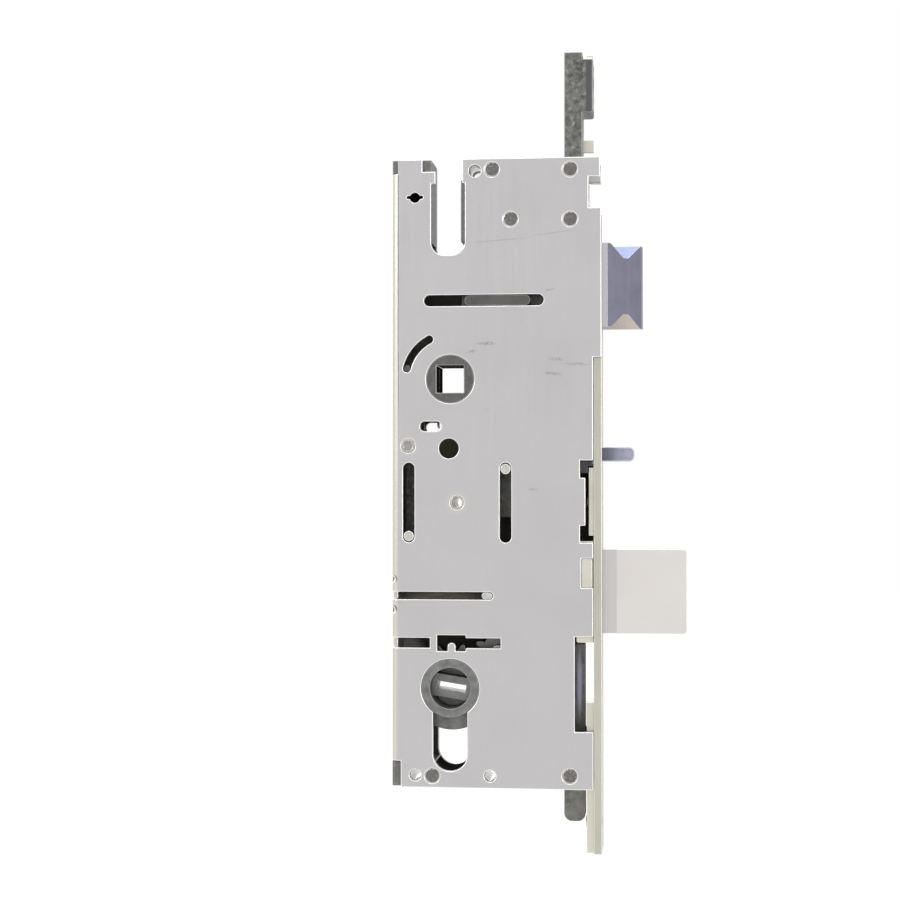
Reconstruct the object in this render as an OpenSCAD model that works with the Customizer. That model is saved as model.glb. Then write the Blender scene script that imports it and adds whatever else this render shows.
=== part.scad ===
// Multipoint door lock, centre gearbox.
// Origin on the spindle axis at mid thickness, +X to the faceplate, +Z up, cover side at -Y.

/* [Case] */
// Spindle axis to the front of the faceplate
backset = 45; // [44:0.5:50]
// Spindle axis to the back edge of the case
case_back = 17.5; // [17.5:0.5:20]
// Spindle axis to the top edge of the case
case_top = 65.7; // [65.5:0.1:70]
// Cylinder axis down to the bottom edge of the case
below_cylinder = 29.5; // [29:0.5:34]
// Overall thickness of the case
case_w = 17; // [17:0.1:18]
// Thickness of the cover and of the back plate
plate_t = 1.6; // [1.4:0.1:1.8]
// Spindle axis to cylinder axis
pz = 92; // [91.8:0.1:92.4]
// Width across the flats of the spindle
spindle_sq = 8; // [7:0.5:8]

/* [Faceplate] */
// Width of the faceplate
face_w = 16; // [15.5:0.5:20]
// Thickness of the faceplate
face_t = 2.4; // [2:0.1:2.5]
// Full width part of the faceplate: its top edge
face_top = 6.2; // [5:0.2:7]
// Cylinder axis down to the bottom of the faceplate
face_below = 48.4; // [44:0.4:58]
// Thickness of the screw plate behind the faceplate
backing_t = 1.5; // [1.2:0.1:1.8]
// Thickness of the strip behind the foot of the faceplate
strip_t = 2.2; // [1.8:0.1:2.4]

/* [Latch bolt] */
// Height of the latch head
latch_h = 25; // [24:0.2:25.2]
// Width of the latch head
latch_w = 12.2; // [11:0.2:12.6]
// Bottom of the latch head above the spindle axis
latch_z = 15.4; // [15.2:0.1:15.6]
// Travel of the latch
latch_throw = 12; // [11:0.25:12]
// Depth of the two long grooves in the latch head
groove_d = 4; // [3:0.2:4.2]

/* [Deadbolt] */
// Height of the deadbolt
bolt_h = 25; // [23:0.5:25.5]
// Thickness of the deadbolt
bolt_t = 6.5; // [5.5:0.1:6.6]
// Travel of the deadbolt
bolt_throw = 25; // [22:0.5:25]
// Height above the cylinder axis of the deadbolt's lower edge
bolt_rise = 16.3; // [16.1:0.1:16.6]

/* [Trigger] */
// Height of the trigger
trig_h = 4.3; // [3.8:0.1:4.6]
// Width of the trigger
trig_w = 6; // [5:0.2:6.2]
// How far the trigger stands out of the faceplate
trig_out = 9.5; // [8:0.5:10]
// Spindle axis down to the middle of the trigger
trig_z = 22.4; // [22:0.1:23]

/* [Slides and gears] */
// Travel of each drive slide
slide_travel = 20; // [18:0.5:20]
// Angle of the handle's lift
lift_deg = 48; // [46:1:49]
// Angle that the handle turns down
latch_deg = 43.6; // [42:0.2:44]
// Thickness of a drive slide
slide_t = 1.5; // [1.2:0.1:1.5]
// Height of the upper slide's head above the case
head_rise = 31.7; // [30:0.1:36]
// Length of the lower slide's foot below the case
foot_drop = 10.8; // [8:0.1:14]
// Gear module of the reversing pinion
pinion_m = 1.25; // [1.2:0.05:1.25]
// Teeth on the reversing pinion, an even number
pinion_z = 16; // [14:2:16]
// Gear module of the cam gear and idler
cam_m = 1.2; // [1.15:0.05:1.2]
// Pitch of the cam gear in whole teeth
cam_z = 20; // [19:1:20]
// Teeth on the idler
idler_z = 10; // [10:1:11]

/* [Fits] */
// Radial clearance of a pin or journal in its bore
running = 0.05; // [0.02:0.01:0.08]
// Gap beside a sliding piece
slide_gap = 0.2; // [0.15:0.05:0.25]
// Play at a pitch line between teeth
backlash = 0.24; // [0.2:0.02:0.3]

/* [Hidden] */
$fn = 48;

// Planes of the case
case_bottom = pz + below_cylinder;
face_bottom = pz + face_below;
half_w = case_w / 2;
inner_y = half_w - plate_t;
face_back = backset - face_t;
plate_front = face_back - 0.1;
back_wall = -case_back + plate_t;
skin = 0.2;
fold_r = 2.2;

// Layers of the mechanism, from the back plate inwards
layer_gap = 0.2;
upper_y1 = inner_y - layer_gap;
upper_y0 = upper_y1 - slide_t;
lower_y1 = upper_y0 - layer_gap;
lower_y0 = lower_y1 - slide_t;
arm_t = 3;
split = 0.2;

// Pinion between the two racks
pinion_x = 2.05;
pinion_zc = -36.8;
pinion_r = pinion_m * pinion_z / 2;
tip_k = 0.8;
root_k = 1.1;
pressure = 25;
rack_w = 5.9;
rear_pitch = pinion_x - pinion_r;
front_pitch = pinion_x + pinion_r;
rear_root = rear_pitch - root_k * pinion_m;
front_root = front_pitch + root_k * pinion_m;
rear_pin_x = rear_root - rack_w / 2 - 0.15;
front_pin_x = front_root + rack_w / 2 + 0.15;
guide_pin_r = 1.55;
post_r = 2;
post_bore_r = 1.5;
slot_w = 3.4;
rack_half = slide_travel / 2 + 4.6;
rear_mid = pinion_zc - slide_travel / 2;
front_mid = pinion_zc + slide_travel / 2;

// Followers on the spindle
journal_r = 7.2;
follower_r = 8.9;
lift_r = slide_travel / (2 * sin(lift_deg / 2));
lift_pin_r = 2;
stop_r = 13.4;
stop_pin_r = 1;
stop_pin_sunk = 0.9;
stop_deg = 166;
latch_arm_deg = 50;
latch_arm_r = latch_throw / (cos(latch_arm_deg) - cos(latch_arm_deg + latch_deg));
latch_tip_r = 2;

// Latch
latch_top = latch_z + latch_h;
head_back = backset - 3;
tail_z0 = 19.5;
tail_z1 = 27;
tail_half = 3.2;
lug_z = 23.4;
lug_h = 3;
lug_x0 = 4.3;
lug_x1 = 23.9;
latch_spring_z = 33.5;
latch_spring_r = 2.7;
bracket_x0 = 13;
bracket_x1 = 22;

// Deadbolt, idler and cam gear
bolt_z0 = -pz + bolt_rise;
bolt_z1 = bolt_z0 + bolt_h;
bolt_mid = (bolt_z0 + bolt_z1) / 2;
bolt_back = back_wall + bolt_throw + 0.3;
cam_r = cam_m * cam_z / 2;
idler_r = cam_m * idler_z / 2;
rack_pitch_z = bolt_z0 + tip_k * cam_m;
idler_zc = rack_pitch_z - idler_r;
idler_xc = sqrt(pow(cam_r + idler_r, 2) - pow(idler_zc + pz, 2));
mesh_deg = atan2(idler_zc + pz, idler_xc);
idler_step = 360 / idler_z;
idler_first = mesh_deg + 180 + idler_step / 2;
idler_top = idler_first - round((idler_first - 90) / idler_step) * idler_step;
rack_gap_x = idler_xc - idler_r * (idler_top - 90) * PI / 180;
cam_turn = bolt_throw / cam_r * 180 / PI;
gear_half = 2.9;
cam_journal_r = 8.6;
cam_bore_r = 6.1;
cam_floor_y = 1;
bolt_slot_z = bolt_mid - 1.3;
bolt_slot_w = 2.2;

// Cylinder hole and bolt slot
cyl_r = cam_journal_r + 0.1;
cyl_leg_w = 10.2;
cyl_leg_z = -pz - 24.6;
neck_x0 = -4.4;
neck_x1 = 3.6;
wide_x0 = -5.75;
wide_x1 = 4.4;
neck_z = 58.4;
wide_bottom = 37;
wide_round = 4;

// Trigger
trig_zc = -trig_z;
trig_flange_h = trig_h + 3;
trig_flange_t = 2.9;
housing_x0 = front_pin_x + guide_pin_r + 0.5;
housing_x1 = face_back - backing_t - 0.1;
housing_wall = 1.8;
trig_spring_r = 1.8;

// Faceplate details
tongue_w = 12;
shoulder_z = 14.8;
peak_z = 18.7;
lower_screw_z = -face_bottom + 8.4;
screw_head_r = 4.1;
anchor_z0 = bolt_z1 + 4.1;
anchor_z1 = trig_zc - 4;
upper_screw_z = (anchor_z0 + anchor_z1) / 2;
backing_top = -pz - 4;
window_z0 = -pz - 12.4;
window_z1 = -pz + 15.6;
guide_lug_z0 = bolt_mid + 1.4;
guide_lug_z1 = bolt_mid + 9.8;

// Slides
head_x0 = face_back - 8.7;
head_x1 = head_x0 + 5.4;
head_half = inner_y - 1.1;
head_z0 = case_top + 8;
head_slot_y = [-1.8, 1.5];
short_leg_y1 = 4.9;
short_leg_z0 = case_top - 3.7;
clip_y = [-1.2, 0.4];
head_z1 = case_top + head_rise;
boss_x1 = face_back - 0.2;
boss_z0 = head_z1 - 18.1;
boss_z1 = head_z1 - 2.1;
slide_screw_z = [head_z1 - 3.8, head_z1 - 13.5];
slide_screw_r = 3.7;
slide_screw_h = 2.2;
web_z0 = 9.2;
web_z1 = 16;
bar_x0 = 19;
bar_x1 = 29.5;
link_z0 = latch_top + 0.6;
link_z1 = case_top - slide_travel;
foot_z = -case_bottom - foot_drop;
foot_x1 = face_back - strip_t - 0.6;
foot_x0 = foot_x1 - 6.4;
leg_top = bolt_z0 - 3.2;

// Rivets: x, z, far end along y
rivet_r = 2.2;
rivet_clear = 0.02;
front_rivet_x = face_back - 6.9;
mid_rivet_x = 18;
mid_rivet_z = 47.45;
rivets = [
    [12.5, case_top - 3.35, half_w],
    [mid_rivet_x, mid_rivet_z, 3],
    [front_rivet_x, case_top - 3.65, -inner_y + 0.9],
    [front_rivet_x, mid_rivet_z - 0.2, -inner_y + 0.9],
    [-5.4, -case_bottom + 3.5, half_w],
    [front_rivet_x - 0.2, -case_bottom + 4, 0.4]
];
// Plain fixing holes: x, z, radius
fix_holes = [
    [7.4, case_top - 3.7, 1.8],
    [-10.4, -case_bottom + 3.7, 1.7],
    [11.9, -case_bottom + 3.7, 1.7]
];
foot_spacer_x = [foot_x0 - 2.4, foot_x1 - 1.8];

// Spacers between the plates
bracket_top = 52;
rail_z0 = 45.2;
front_spacer_x1 = 18;
front_spacer_h = 6.2;
rear_spacer_h = 4.2;
bottom_spacer_x1 = 17.5;
bottom_spacer_h = 7.7;
foot_spacer_h = 7;
lining_t = 1.6;
spring_post_x = -12.6;
spring_post_z = -19.9;
spring_post_r = 2.05;
spring_post_dimple = 1.4;

// Extrudes an X-Z outline from y0 to y1
module slab(y0, y1) {
    translate([0, y1, 0]) rotate([90, 0, 0]) linear_extrude(y1 - y0) children();
}

// Extrudes a Y-Z outline from x0 to x1
module bar(x0, x1) {
    translate([x0, 0, 0]) rotate([90, 0, 90]) linear_extrude(x1 - x0) children();
}

// Round pin along Y
module pin(x, z, r, y0, y1) {
    translate([x, y1, z]) rotate([90, 0, 0]) cylinder(r = r, h = y1 - y0);
}

// Round pin along X
module pin_x(z, r, x0, x1) {
    translate([x0, 0, z]) rotate([0, 90, 0]) cylinder(r = r, h = x1 - x0);
}

// Outline of a box given by its corners
module area(x0, z0, x1, z1) {
    translate([x0, z0]) square([x1 - x0, z1 - z0]);
}

// Outline of a slot along X
module slot_h(x0, x1, z, w) {
    area(x0 + w / 2, z - w / 2, x1 - w / 2, z + w / 2);
    for (x = [x0 + w / 2, x1 - w / 2]) translate([x, z]) circle(w / 2);
}

// Outline of a slot along Z
module slot_v(x, z0, z1, w) {
    area(x - w / 2, z0 + w / 2, x + w / 2, z1 - w / 2);
    for (z = [z0 + w / 2, z1 - w / 2]) translate([x, z]) circle(w / 2);
}

// Outline with its lower corners rounded
module round_foot(x0, z0, x1, z1, r) {
    area(x0, z0 + r, x1, z1);
    area(x0 + r, z0, x1 - r, z0 + r);
    for (x = [x0 + r, x1 - r]) translate([x, z0 + r]) circle(r);
}

// Angle in degrees swept by the involute at a radius
function involute(base, r) = let (a = acos(min(1, base / r))) tan(a) * 180 / PI - a;

// Half angle of a tooth at a radius
function half_tooth(pitch, z, base, r) =
    90 / z - backlash / 4 / pitch * 180 / PI
    + involute(base, pitch) - involute(base, max(r, base));

// Radii at which a tooth's flank is set out
function flank(root, base, tip) = [for (i = [-1:5]) i < 0 ? root - 0.4 : max(root, base)
    + (tip - max(root, base)) * i / 5];

function polar(r, a) = [r * cos(a), r * sin(a)];

// One gear tooth pointing along an angle
module tooth(m, z, angle) {
    pitch = m * z / 2;
    base = pitch * cos(pressure);
    radii = flank(pitch - root_k * m, base, pitch + tip_k * m);
    last = len(radii) - 1;
    polygon(concat(
        [for (i = [0:last]) polar(radii[i], angle - half_tooth(pitch, z, base, radii[i]))],
        [for (i = [last:-1:0]) polar(radii[i], angle + half_tooth(pitch, z, base, radii[i]))]));
}

// Gear outline with count teeth from the angle start
module gear(m, z, start, count) {
    circle(m * z / 2 - root_k * m);
    for (i = [0:count - 1]) tooth(m, z, start + i * 360 / z);
}

// One rack tooth pointing along +X with its pitch point at the origin
module rack_tooth(m) {
    half = m * PI / 4 - backlash / 4;
    tip = tip_k * m;
    root = root_k * m;
    lean = tan(pressure);
    polygon([[-root - 0.4, half + root * lean], [-root, half + root * lean], [tip, half - tip * lean],
        [tip, -half + tip * lean], [-root, -half - root * lean], [-root - 0.4, -half - root * lean]]);
}

// Rack teeth up a slide, with a tooth space at mesh_z
module rack_teeth(m, x, mesh_z, z0, z1, side) {
    step = m * PI;
    first = ceil((z0 - mesh_z) / step - 0.5);
    last = floor((z1 - mesh_z) / step - 0.5);
    for (k = [first:last]) translate([x, mesh_z + (k + 0.5) * step]) {
        rotate(side > 0 ? 0 : 180) rack_tooth(m);
    }
}

function unit(v) = v / norm(v);

// Directions across a path, each carried on from the one before without a twist
function carried(heads, i, u) = i == len(heads) ? []
    : let (w = unit(u - (u * heads[i]) * heads[i])) concat([w], carried(heads, i + 1, w));

// Tube of radius r swept along points, as one closed polyhedron
module wire(path, r, sides = 6) {
    n = len(path);
    heads = [for (i = [0:n - 1]) unit(path[min(i + 1, n - 1)] - path[max(i - 1, 0)])];
    across = carried(heads, 0, [0.31, 0.52, 0.8]);
    ring = [for (i = [0:n - 1]) let (u = across[i], v = cross(heads[i], u))
        for (k = [0:sides - 1]) let (a = 360 * k / sides) path[i] + r * (cos(a) * u + sin(a) * v)];
    skin_faces = [for (i = [0:n - 2], k = [0:sides - 1]) let (j = (k + 1) % sides)
        for (f = [[i * sides + k, i * sides + j, (i + 1) * sides + j],
            [i * sides + k, (i + 1) * sides + j, (i + 1) * sides + k]]) f];
    ends = [for (k = [1:sides - 2]) for (f = [[0, k + 1, k],
        [(n - 1) * sides, (n - 1) * sides + k, (n - 1) * sides + k + 1]]) f];
    polyhedron(ring, [for (f = concat(skin_faces, ends)) [f[2], f[1], f[0]]]);
}

// Least clear gap between the turns of a wire, over pairs of points at least half a turn apart
function turn_gap(path, r, per_turn) = min([for (i = [0:len(path) - 1 - per_turn / 2])
    for (j = [i + per_turn / 2:len(path) - 1]) norm(path[i] - path[j])]) - 2 * r;

// Points of a compression spring along X, eight to a turn
function spring_path(x0, x1, z, r, turns) = [for (i = [0:turns * 8]) let (t = i / (turns * 8))
    [x0 + (x1 - x0) * t, r * cos(i * 45), z + r * sin(i * 45)]];

// Points of a torsion spring's coil about the spindle, twelve to a turn
function coil_path(y0, y1, r, start, turns, turn_dir) = [for (i = [0:turns * 12])
    let (t = i / (turns * 12), a = start + turn_dir * i * 30) [r * cos(a), y0 + (y1 - y0) * t, r * sin(a)]];

// Cylinder hole, round part and leg
module cylinder_outline() {
    translate([0, -pz]) circle(cyl_r);
    slot_v(0, cyl_leg_z, -pz, cyl_leg_w);
}

// Slot that takes the handle's upper bolt, open at the top
module bolt_slot_outline(neck) {
    area(neck, neck_z - 2, neck_x1, case_top + 5);
    area(wide_x0, wide_bottom + wide_round, wide_x1, neck_z);
    area(wide_x0 + wide_round, wide_bottom, wide_x1 - wide_round, wide_bottom + wide_round + 1);
    for (x = [wide_x0 + wide_round, wide_x1 - wide_round])
        translate([x, wide_bottom + wide_round]) circle(wide_round);
}

// Slots in which the guide pins of the slides run
module pin_slots() {
    end = slot_w / 2 + 0.15;
    slot_v(rear_pin_x, rear_mid - end, rear_mid + slide_travel + end, slot_w);
    slot_v(front_pin_x, front_mid - slide_travel - end, front_mid + end, slot_w);
}

// Row of windows over the idler and the cam gear
module gear_windows() {
    z = idler_zc + 2.2;
    area(-case_back - 1, z - 1.45, -6.1, z + 1.45);
    area(3.6, z - 1.45, 15, z + 1.45);
    difference() {
        area(-3.9, z - 2.4, 4.6, z + 2.3);
        slot_v(0.45, z - 6, z + 0.1, 2.4);
    }
}

// Outline of a plate of the case: high part to the faceplate's front, low part behind it
module plate_outline(neck) {
    difference() {
        union() {
            area(-case_back, -case_bottom, plate_front, case_top);
            area(plate_front - 1, face_top + 0.05, backset, case_top);
        }
        area(backset - 3.8, 50.6, backset + 1, 59.8);
        area(backset - 0.4, 59.7, backset + 1, case_top + 1);
        area(face_back - 5.6, window_z0, backset, window_z1);
        bolt_slot_outline(neck);
        cylinder_outline();
        circle(journal_r + running);
        slot_h(-9, -2.7, -14.1, 2.9);
        for (h = fix_holes) translate([h[0], h[1]]) circle(h[2]);
    }
}

// Openings that the cover has and the back plate has not
module cover_openings() {
    area(face_back - 4, anchor_z0 - 2, backset, anchor_z0 + 3);
    area(face_back - 2.4, anchor_z0 + 2.9, backset, anchor_z1 - 2.9);
    area(face_back - 4, anchor_z1 - 3, backset, anchor_z1 + 2.1);
    area(face_back - 3.6, guide_lug_z0 - 0.1, backset, guide_lug_z1 + 0.1);
    pin_slots();
    gear_windows();
    slot_h(-case_back - 3, 12.8, bolt_slot_z, bolt_slot_w);
    slot_h(lug_x0 - latch_throw - 0.1, lug_x1 + 4, lug_z, lug_h + 0.3);
    arc_slot();
    translate([-0.4, -20.7]) circle(2.95);
    translate([-10.6, 54.3]) circle(1.5);
    slot_h(-13.05, -8.15, 54.4, 0.9);
}

// Holes of the rivets that reach a given depth
module rivet_holes(y) {
    for (r = rivets) if (r[2] > y) translate([r[0], r[1]]) circle(rivet_r + rivet_clear);
}

module cover_plate() {
    color([0.78, 0.77, 0.76]) difference() {
        union() {
            slab(-half_w, -inner_y) difference() {
                plate_outline(neck_x0);
                cover_openings();
                area(-case_back - 1, case_top - rear_spacer_h, -15.7, case_top + 1);
                area(-8.3, case_top - 3.7, neck_x0 + 1, case_top + 1);
                area(-case_back - 1, -case_bottom - 1, -14.8, -case_bottom + bottom_spacer_h + 0.1);
                translate([spring_post_x, spring_post_z]) circle(spring_post_r + rivet_clear);
                translate([pinion_x, pinion_zc]) circle(post_r + rivet_clear);
                rivet_holes(-half_w);
            }
            slab(-inner_y, inner_y) area(-case_back, -case_bottom + bottom_spacer_h + 0.1,
                back_wall, case_top - rear_spacer_h - 0.2);
        }
        for (z = [bolt_mid + 3.5, bolt_mid - 5.7]) pin(-case_back, z, 1, -half_w - 1, -half_w + 2.2);
        slab(-half_w - 1, -half_w + 2.6) slot_h(-case_back - 3, 12.8, bolt_slot_z, bolt_slot_w);
        slab(-half_w - 1, -half_w + 2.6) area(-case_back - 1, idler_zc + 0.75, -6.1, idler_zc + 3.65);
        fold_corner();
    }
}

// What is rounded off along the cover's folded edge
module fold_corner() {
    translate([-case_back, -half_w, -case_bottom - 1]) {
        linear_extrude(case_bottom + case_top + 2) difference() {
            translate([-1, -1]) square(fold_r + 1);
            translate([fold_r, fold_r]) circle(fold_r);
        }
    }
}

// Curved slot in which the stop pin of the lift follower runs
module arc_slot() {
    w = 2 * stop_pin_r + 0.3;
    last = stop_deg - lift_deg;
    intersection() {
        difference() {
            circle(stop_r + w / 2);
            circle(stop_r - w / 2);
        }
        polygon([[0, 0], polar(30, stop_deg), polar(30, stop_deg - lift_deg / 2), polar(30, last)]);
    }
    for (a = [stop_deg, last]) translate(polar(stop_r, a)) circle(w / 2 + 0.03);
}

module back_plate() {
    color([0.76, 0.76, 0.76]) {
        slab(inner_y, half_w) difference() {
            union() {
                plate_outline(wide_x0);
                area(plate_front - 3, -8.5, backset + 0.3, -2.4);
            }
            translate([idler_xc, idler_zc]) circle(1.5);
            translate([pinion_x, pinion_zc]) circle(post_r + rivet_clear);
            rivet_holes(inner_y);
        }
    }
}

module faceplate() {
    color([0.72, 0.72, 0.67]) difference() {
        bar(face_back, backset) difference() {
            union() {
                area(-face_w / 2, -face_bottom, face_w / 2, face_top);
                area(-tongue_w / 2, face_top - 1, tongue_w / 2, shoulder_z);
                polygon([[-4.6, shoulder_z - 1], [4.6, shoulder_z - 1], [4.6, shoulder_z],
                    [1, peak_z], [-1, peak_z], [-4.6, shoulder_z]]);
            }
            area(inner_y - 0.2, -8.7, face_w, -2.2);
            area(-trig_w / 2 - 0.9, trig_zc - trig_h / 2 - 0.7,
                trig_w / 2 + 0.9, trig_zc + trig_h / 2 + 0.7);
            area(-bolt_t / 2 - 0.6, bolt_z0 - 0.4, bolt_t / 2 + 0.6, bolt_z1 + 0.4);
            translate([0, upper_screw_z]) circle(screw_head_r + 0.15);
            translate([0, lower_screw_z]) circle(2.1);
        }
        translate([backset - 2, 0, lower_screw_z]) rotate([0, 90, 0])
            cylinder(r1 = 2.1, r2 = screw_head_r + 0.2, h = 2.01);
    }
}

module backing_strip() {
    color([0.8, 0.8, 0.79]) bar(face_back - strip_t, face_back) difference() {
        area(-inner_y + 0.9, -face_bottom, inner_y - 0.9, backing_top);
        translate([0, lower_screw_z]) circle(2.1);
    }
}

module screw_anchor_plate() {
    color([0.8, 0.8, 0.79]) bar(face_back - backing_t, face_back) difference() {
        area(-inner_y + 0.6, anchor_z0, inner_y - 0.6, anchor_z1);
        translate([0, upper_screw_z]) circle(2.1);
    }
}

// Six-lobed recess in a screw head, cut along -X from the head's face
module star_recess(x, z, r) {
    translate([x, 0, z]) rotate([0, 90, 0]) for (a = [0, 60, 120])
        rotate(a) translate([-r, -r * 0.36, -1.3]) cube([2 * r, r * 0.72, 2]);
}

module faceplate_screws() {
    color([0.83, 0.79, 0.62]) {
        difference() {
            union() {
                pin_x(upper_screw_z, screw_head_r, face_back, face_back + 1.5);
                pin_x(upper_screw_z, 2.08, face_back - backing_t - 5, face_back);
            }
            star_recess(face_back + 1.5, upper_screw_z, 1.8);
        }
        difference() {
            union() {
                translate([backset - 2, 0, lower_screw_z]) rotate([0, 90, 0])
                    cylinder(r1 = 2.08, r2 = screw_head_r, h = 2);
                pin_x(lower_screw_z, 2.08, face_back - strip_t - 0.4, backset - 2);
            }
            star_recess(backset, lower_screw_z, 1.8);
        }
    }
}

module case_rivets() {
    color([0.5, 0.5, 0.48]) for (r = rivets) pin(r[0], r[1], rivet_r, -half_w, r[2]);
}

module top_rear_spacer() {
    color([0.42, 0.42, 0.41]) slab(-inner_y, inner_y) {
        area(-case_back, case_top - rear_spacer_h, wide_x0, case_top);
        area(wide_x0 - lining_t, wide_bottom + wide_round, wide_x0, case_top - rear_spacer_h + 0.1);
    }
}

module top_front_spacer() {
    color([0.42, 0.42, 0.41]) difference() {
        slab(-inner_y, lower_y0) {
            area(neck_x1, case_top - front_spacer_h, front_spacer_x1, case_top);
            area(wide_x1 + 0.25 - lining_t, wide_bottom + wide_round,
                wide_x1 - 0.05, case_top - front_spacer_h + 0.1);
        }
        pin(fix_holes[0][0], fix_holes[0][1], fix_holes[0][2], -inner_y - 1, inner_y);
        pin(rivets[0][0], rivets[0][1], rivet_r + rivet_clear, -inner_y - 1, inner_y);
    }
}

module bottom_spacer() {
    color([0.4, 0.4, 0.39]) slab(-inner_y, inner_y) difference() {
        area(-case_back, -case_bottom + 0.2, bottom_spacer_x1, -case_bottom + bottom_spacer_h);
        cylinder_outline();
        for (i = [1, 2]) translate([fix_holes[i][0], fix_holes[i][1]]) circle(fix_holes[i][2]);
        translate([rivets[4][0], rivets[4][1]]) circle(rivet_r + rivet_clear);
    }
}

module front_foot_spacer() {
    color([0.42, 0.42, 0.41]) slab(-inner_y, 0.4) difference() {
        area(foot_spacer_x[0], -case_bottom, foot_spacer_x[1], -case_bottom + foot_spacer_h);
        translate([rivets[5][0], rivets[5][1]]) circle(rivet_r + rivet_clear);
    }
}

module slide_guide_rail() {
    color([0.42, 0.42, 0.41]) slab(-inner_y, -head_half - slide_gap) difference() {
        area(head_x0 - 0.7, rail_z0, head_x0 + 4, case_top);
        for (i = [2, 3]) translate([rivets[i][0], rivets[i][1]]) circle(rivet_r + rivet_clear);
    }
}

module latch_spring_bracket() {
    color([0.42, 0.42, 0.41]) {
        slab(-inner_y, 3) difference() {
            area(bracket_x0, tail_z1 + 2, bracket_x1, bracket_top);
            translate([rivets[1][0], rivets[1][1]]) circle(rivet_r + rivet_clear);
        }
        pin_x(latch_spring_z, 1.4, bracket_x1 - 1, head_back - latch_throw - 1.5);
    }
}

module trigger_housing() {
    room = trig_flange_h / 2 + slide_gap;
    color([0.25, 0.25, 0.26]) difference() {
        slab(-inner_y, trig_w / 2 + slide_gap)
            area(housing_x0, trig_zc - room - housing_wall, housing_x1, trig_zc + room + housing_wall);
        translate([housing_x0 + housing_wall, -trig_w / 2 - slide_gap, trig_zc - room])
            cube([40, 20, 2 * room]);
    }
}

module deadbolt_guide() {
    color([0.85, 0.85, 0.84]) difference() {
        union() {
            bar(face_back - 4.9, face_back - 0.1)
                area(-inner_y, bolt_z0 - 2.5, inner_y - 0.1, bolt_z1 + 2.5);
            slab(-half_w + 0.2, -inner_y)
                area(face_back - 3.4, guide_lug_z0, face_back - 0.5, guide_lug_z1);
        }
        translate([0, -bolt_t / 2 - slide_gap, bolt_z0 - slide_gap])
            cube([80, bolt_t + 2 * slide_gap, bolt_h + 2 * slide_gap]);
    }
}

module pinion_post() {
    color([0.8, 0.79, 0.76]) difference() {
        pin(pinion_x, pinion_zc, post_r, -half_w, half_w);
        pin(pinion_x, pinion_zc, post_bore_r, -half_w - 1, half_w + 1);
    }
}

module idler_post() {
    color([0.6, 0.6, 0.6]) pin(idler_xc, idler_zc, 1.5, -inner_y + 1, half_w);
}

module spring_post() {
    color([0.8, 0.79, 0.76]) difference() {
        pin(spring_post_x, spring_post_z, spring_post_r, -half_w, 1);
        pin(spring_post_x, spring_post_z, spring_post_dimple, -half_w - 1, -half_w + 1);
    }
}

module upper_slide() {
    color([0.3, 0.3, 0.29]) {
        slab(upper_y0, upper_y1) {
            area(rear_root - rack_w, rear_mid - rack_half, rear_root, web_z1);
            rack_teeth(pinion_m, rear_pitch, pinion_zc, rear_mid - rack_half, rear_mid + rack_half, 1);
            area(rear_root - rack_w, web_z0, bar_x1, web_z1);
            area(bar_x0, web_z0, bar_x1, link_z1);
            area(bar_x0, link_z0, head_x1, link_z1);
        }
        difference() {
            union() {
                slab(-head_half, head_half) area(head_x0, head_z0, head_x1, head_z1);
                slab(-head_half, head_half) round_foot(head_x1 - 1, boss_z0, boss_x1, boss_z1, 0.8);
                slab(head_slot_y[1], short_leg_y1) area(head_x0, short_leg_z0, head_x1, head_z0 + 0.5);
                slab(-head_half, head_slot_y[0]) area(head_x0, link_z0, head_x1, head_z0 + 0.5);
                slab(-head_half, upper_y1) area(head_x0, link_z0, head_x1, link_z1);
            }
            for (z = slide_screw_z) {
                pin_x(z, 2.02, head_x0 - 1, boss_x1 + 1);
                pin_x(z, slide_screw_r + 0.05, boss_x1 - slide_screw_h, boss_x1 + 1);
            }
        }
    }
}

module slide_screws() {
    color([0.8, 0.77, 0.68]) for (z = slide_screw_z) difference() {
        union() {
            pin_x(z, slide_screw_r, boss_x1 - slide_screw_h, boss_x1);
            pin_x(z, 2, head_x0 + 0.5, boss_x1 - slide_screw_h);
        }
        star_recess(boss_x1, z, 1.7);
    }
}

module slide_clip_spring() {
    color([0.72, 0.71, 0.66]) {
        slab(clip_y[0], clip_y[1]) {
            area(head_x0 + 0.6, case_top - 6.5, head_x1 - 0.2, head_z0);
            area(head_x1 - 0.3, case_top + 2.4, face_back + 0.1, case_top + 6);
        }
    }
}

module upper_guide_pin() {
    color([0.85, 0.84, 0.82]) pin(rear_pin_x, rear_mid, guide_pin_r, -half_w + skin, upper_y0);
}

module lower_slide() {
    rack_x1 = front_root + rack_w;
    z0 = front_mid - rack_half;
    z1 = front_mid + rack_half;
    color([0.3, 0.3, 0.29]) {
        slab(lower_y0, lower_y1) difference() {
            union() {
                area(front_root, z0, rack_x1, z1);
                rack_teeth(pinion_m, front_pitch, pinion_zc, z0, z1, -1);
                area(rack_x1 - 2, z1 - 8, bar_x1 - 0.5, slide_travel / 2 + 4.4);
                area(rack_x1 - 0.5, bolt_z0 - 14, bar_x1 - 0.5, slide_travel / 2);
                area(rack_x1 - 0.5, bolt_z0 - 20, foot_x1, leg_top);
            }
            slot_h(lift_r * cos(lift_deg / 2) - lift_pin_r - 0.4, lift_r + lift_pin_r + 0.4,
                slide_travel / 2, 2 * lift_pin_r + 0.6);
        }
        slab(0.8, lower_y1 + 0.8) round_foot(foot_x0, foot_z, foot_x1, leg_top - 0.4, 2.4);
    }
}

module lower_guide_pin() {
    color([0.85, 0.84, 0.82]) pin(front_pin_x, front_mid, guide_pin_r, -half_w + skin, lower_y0);
}

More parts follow.
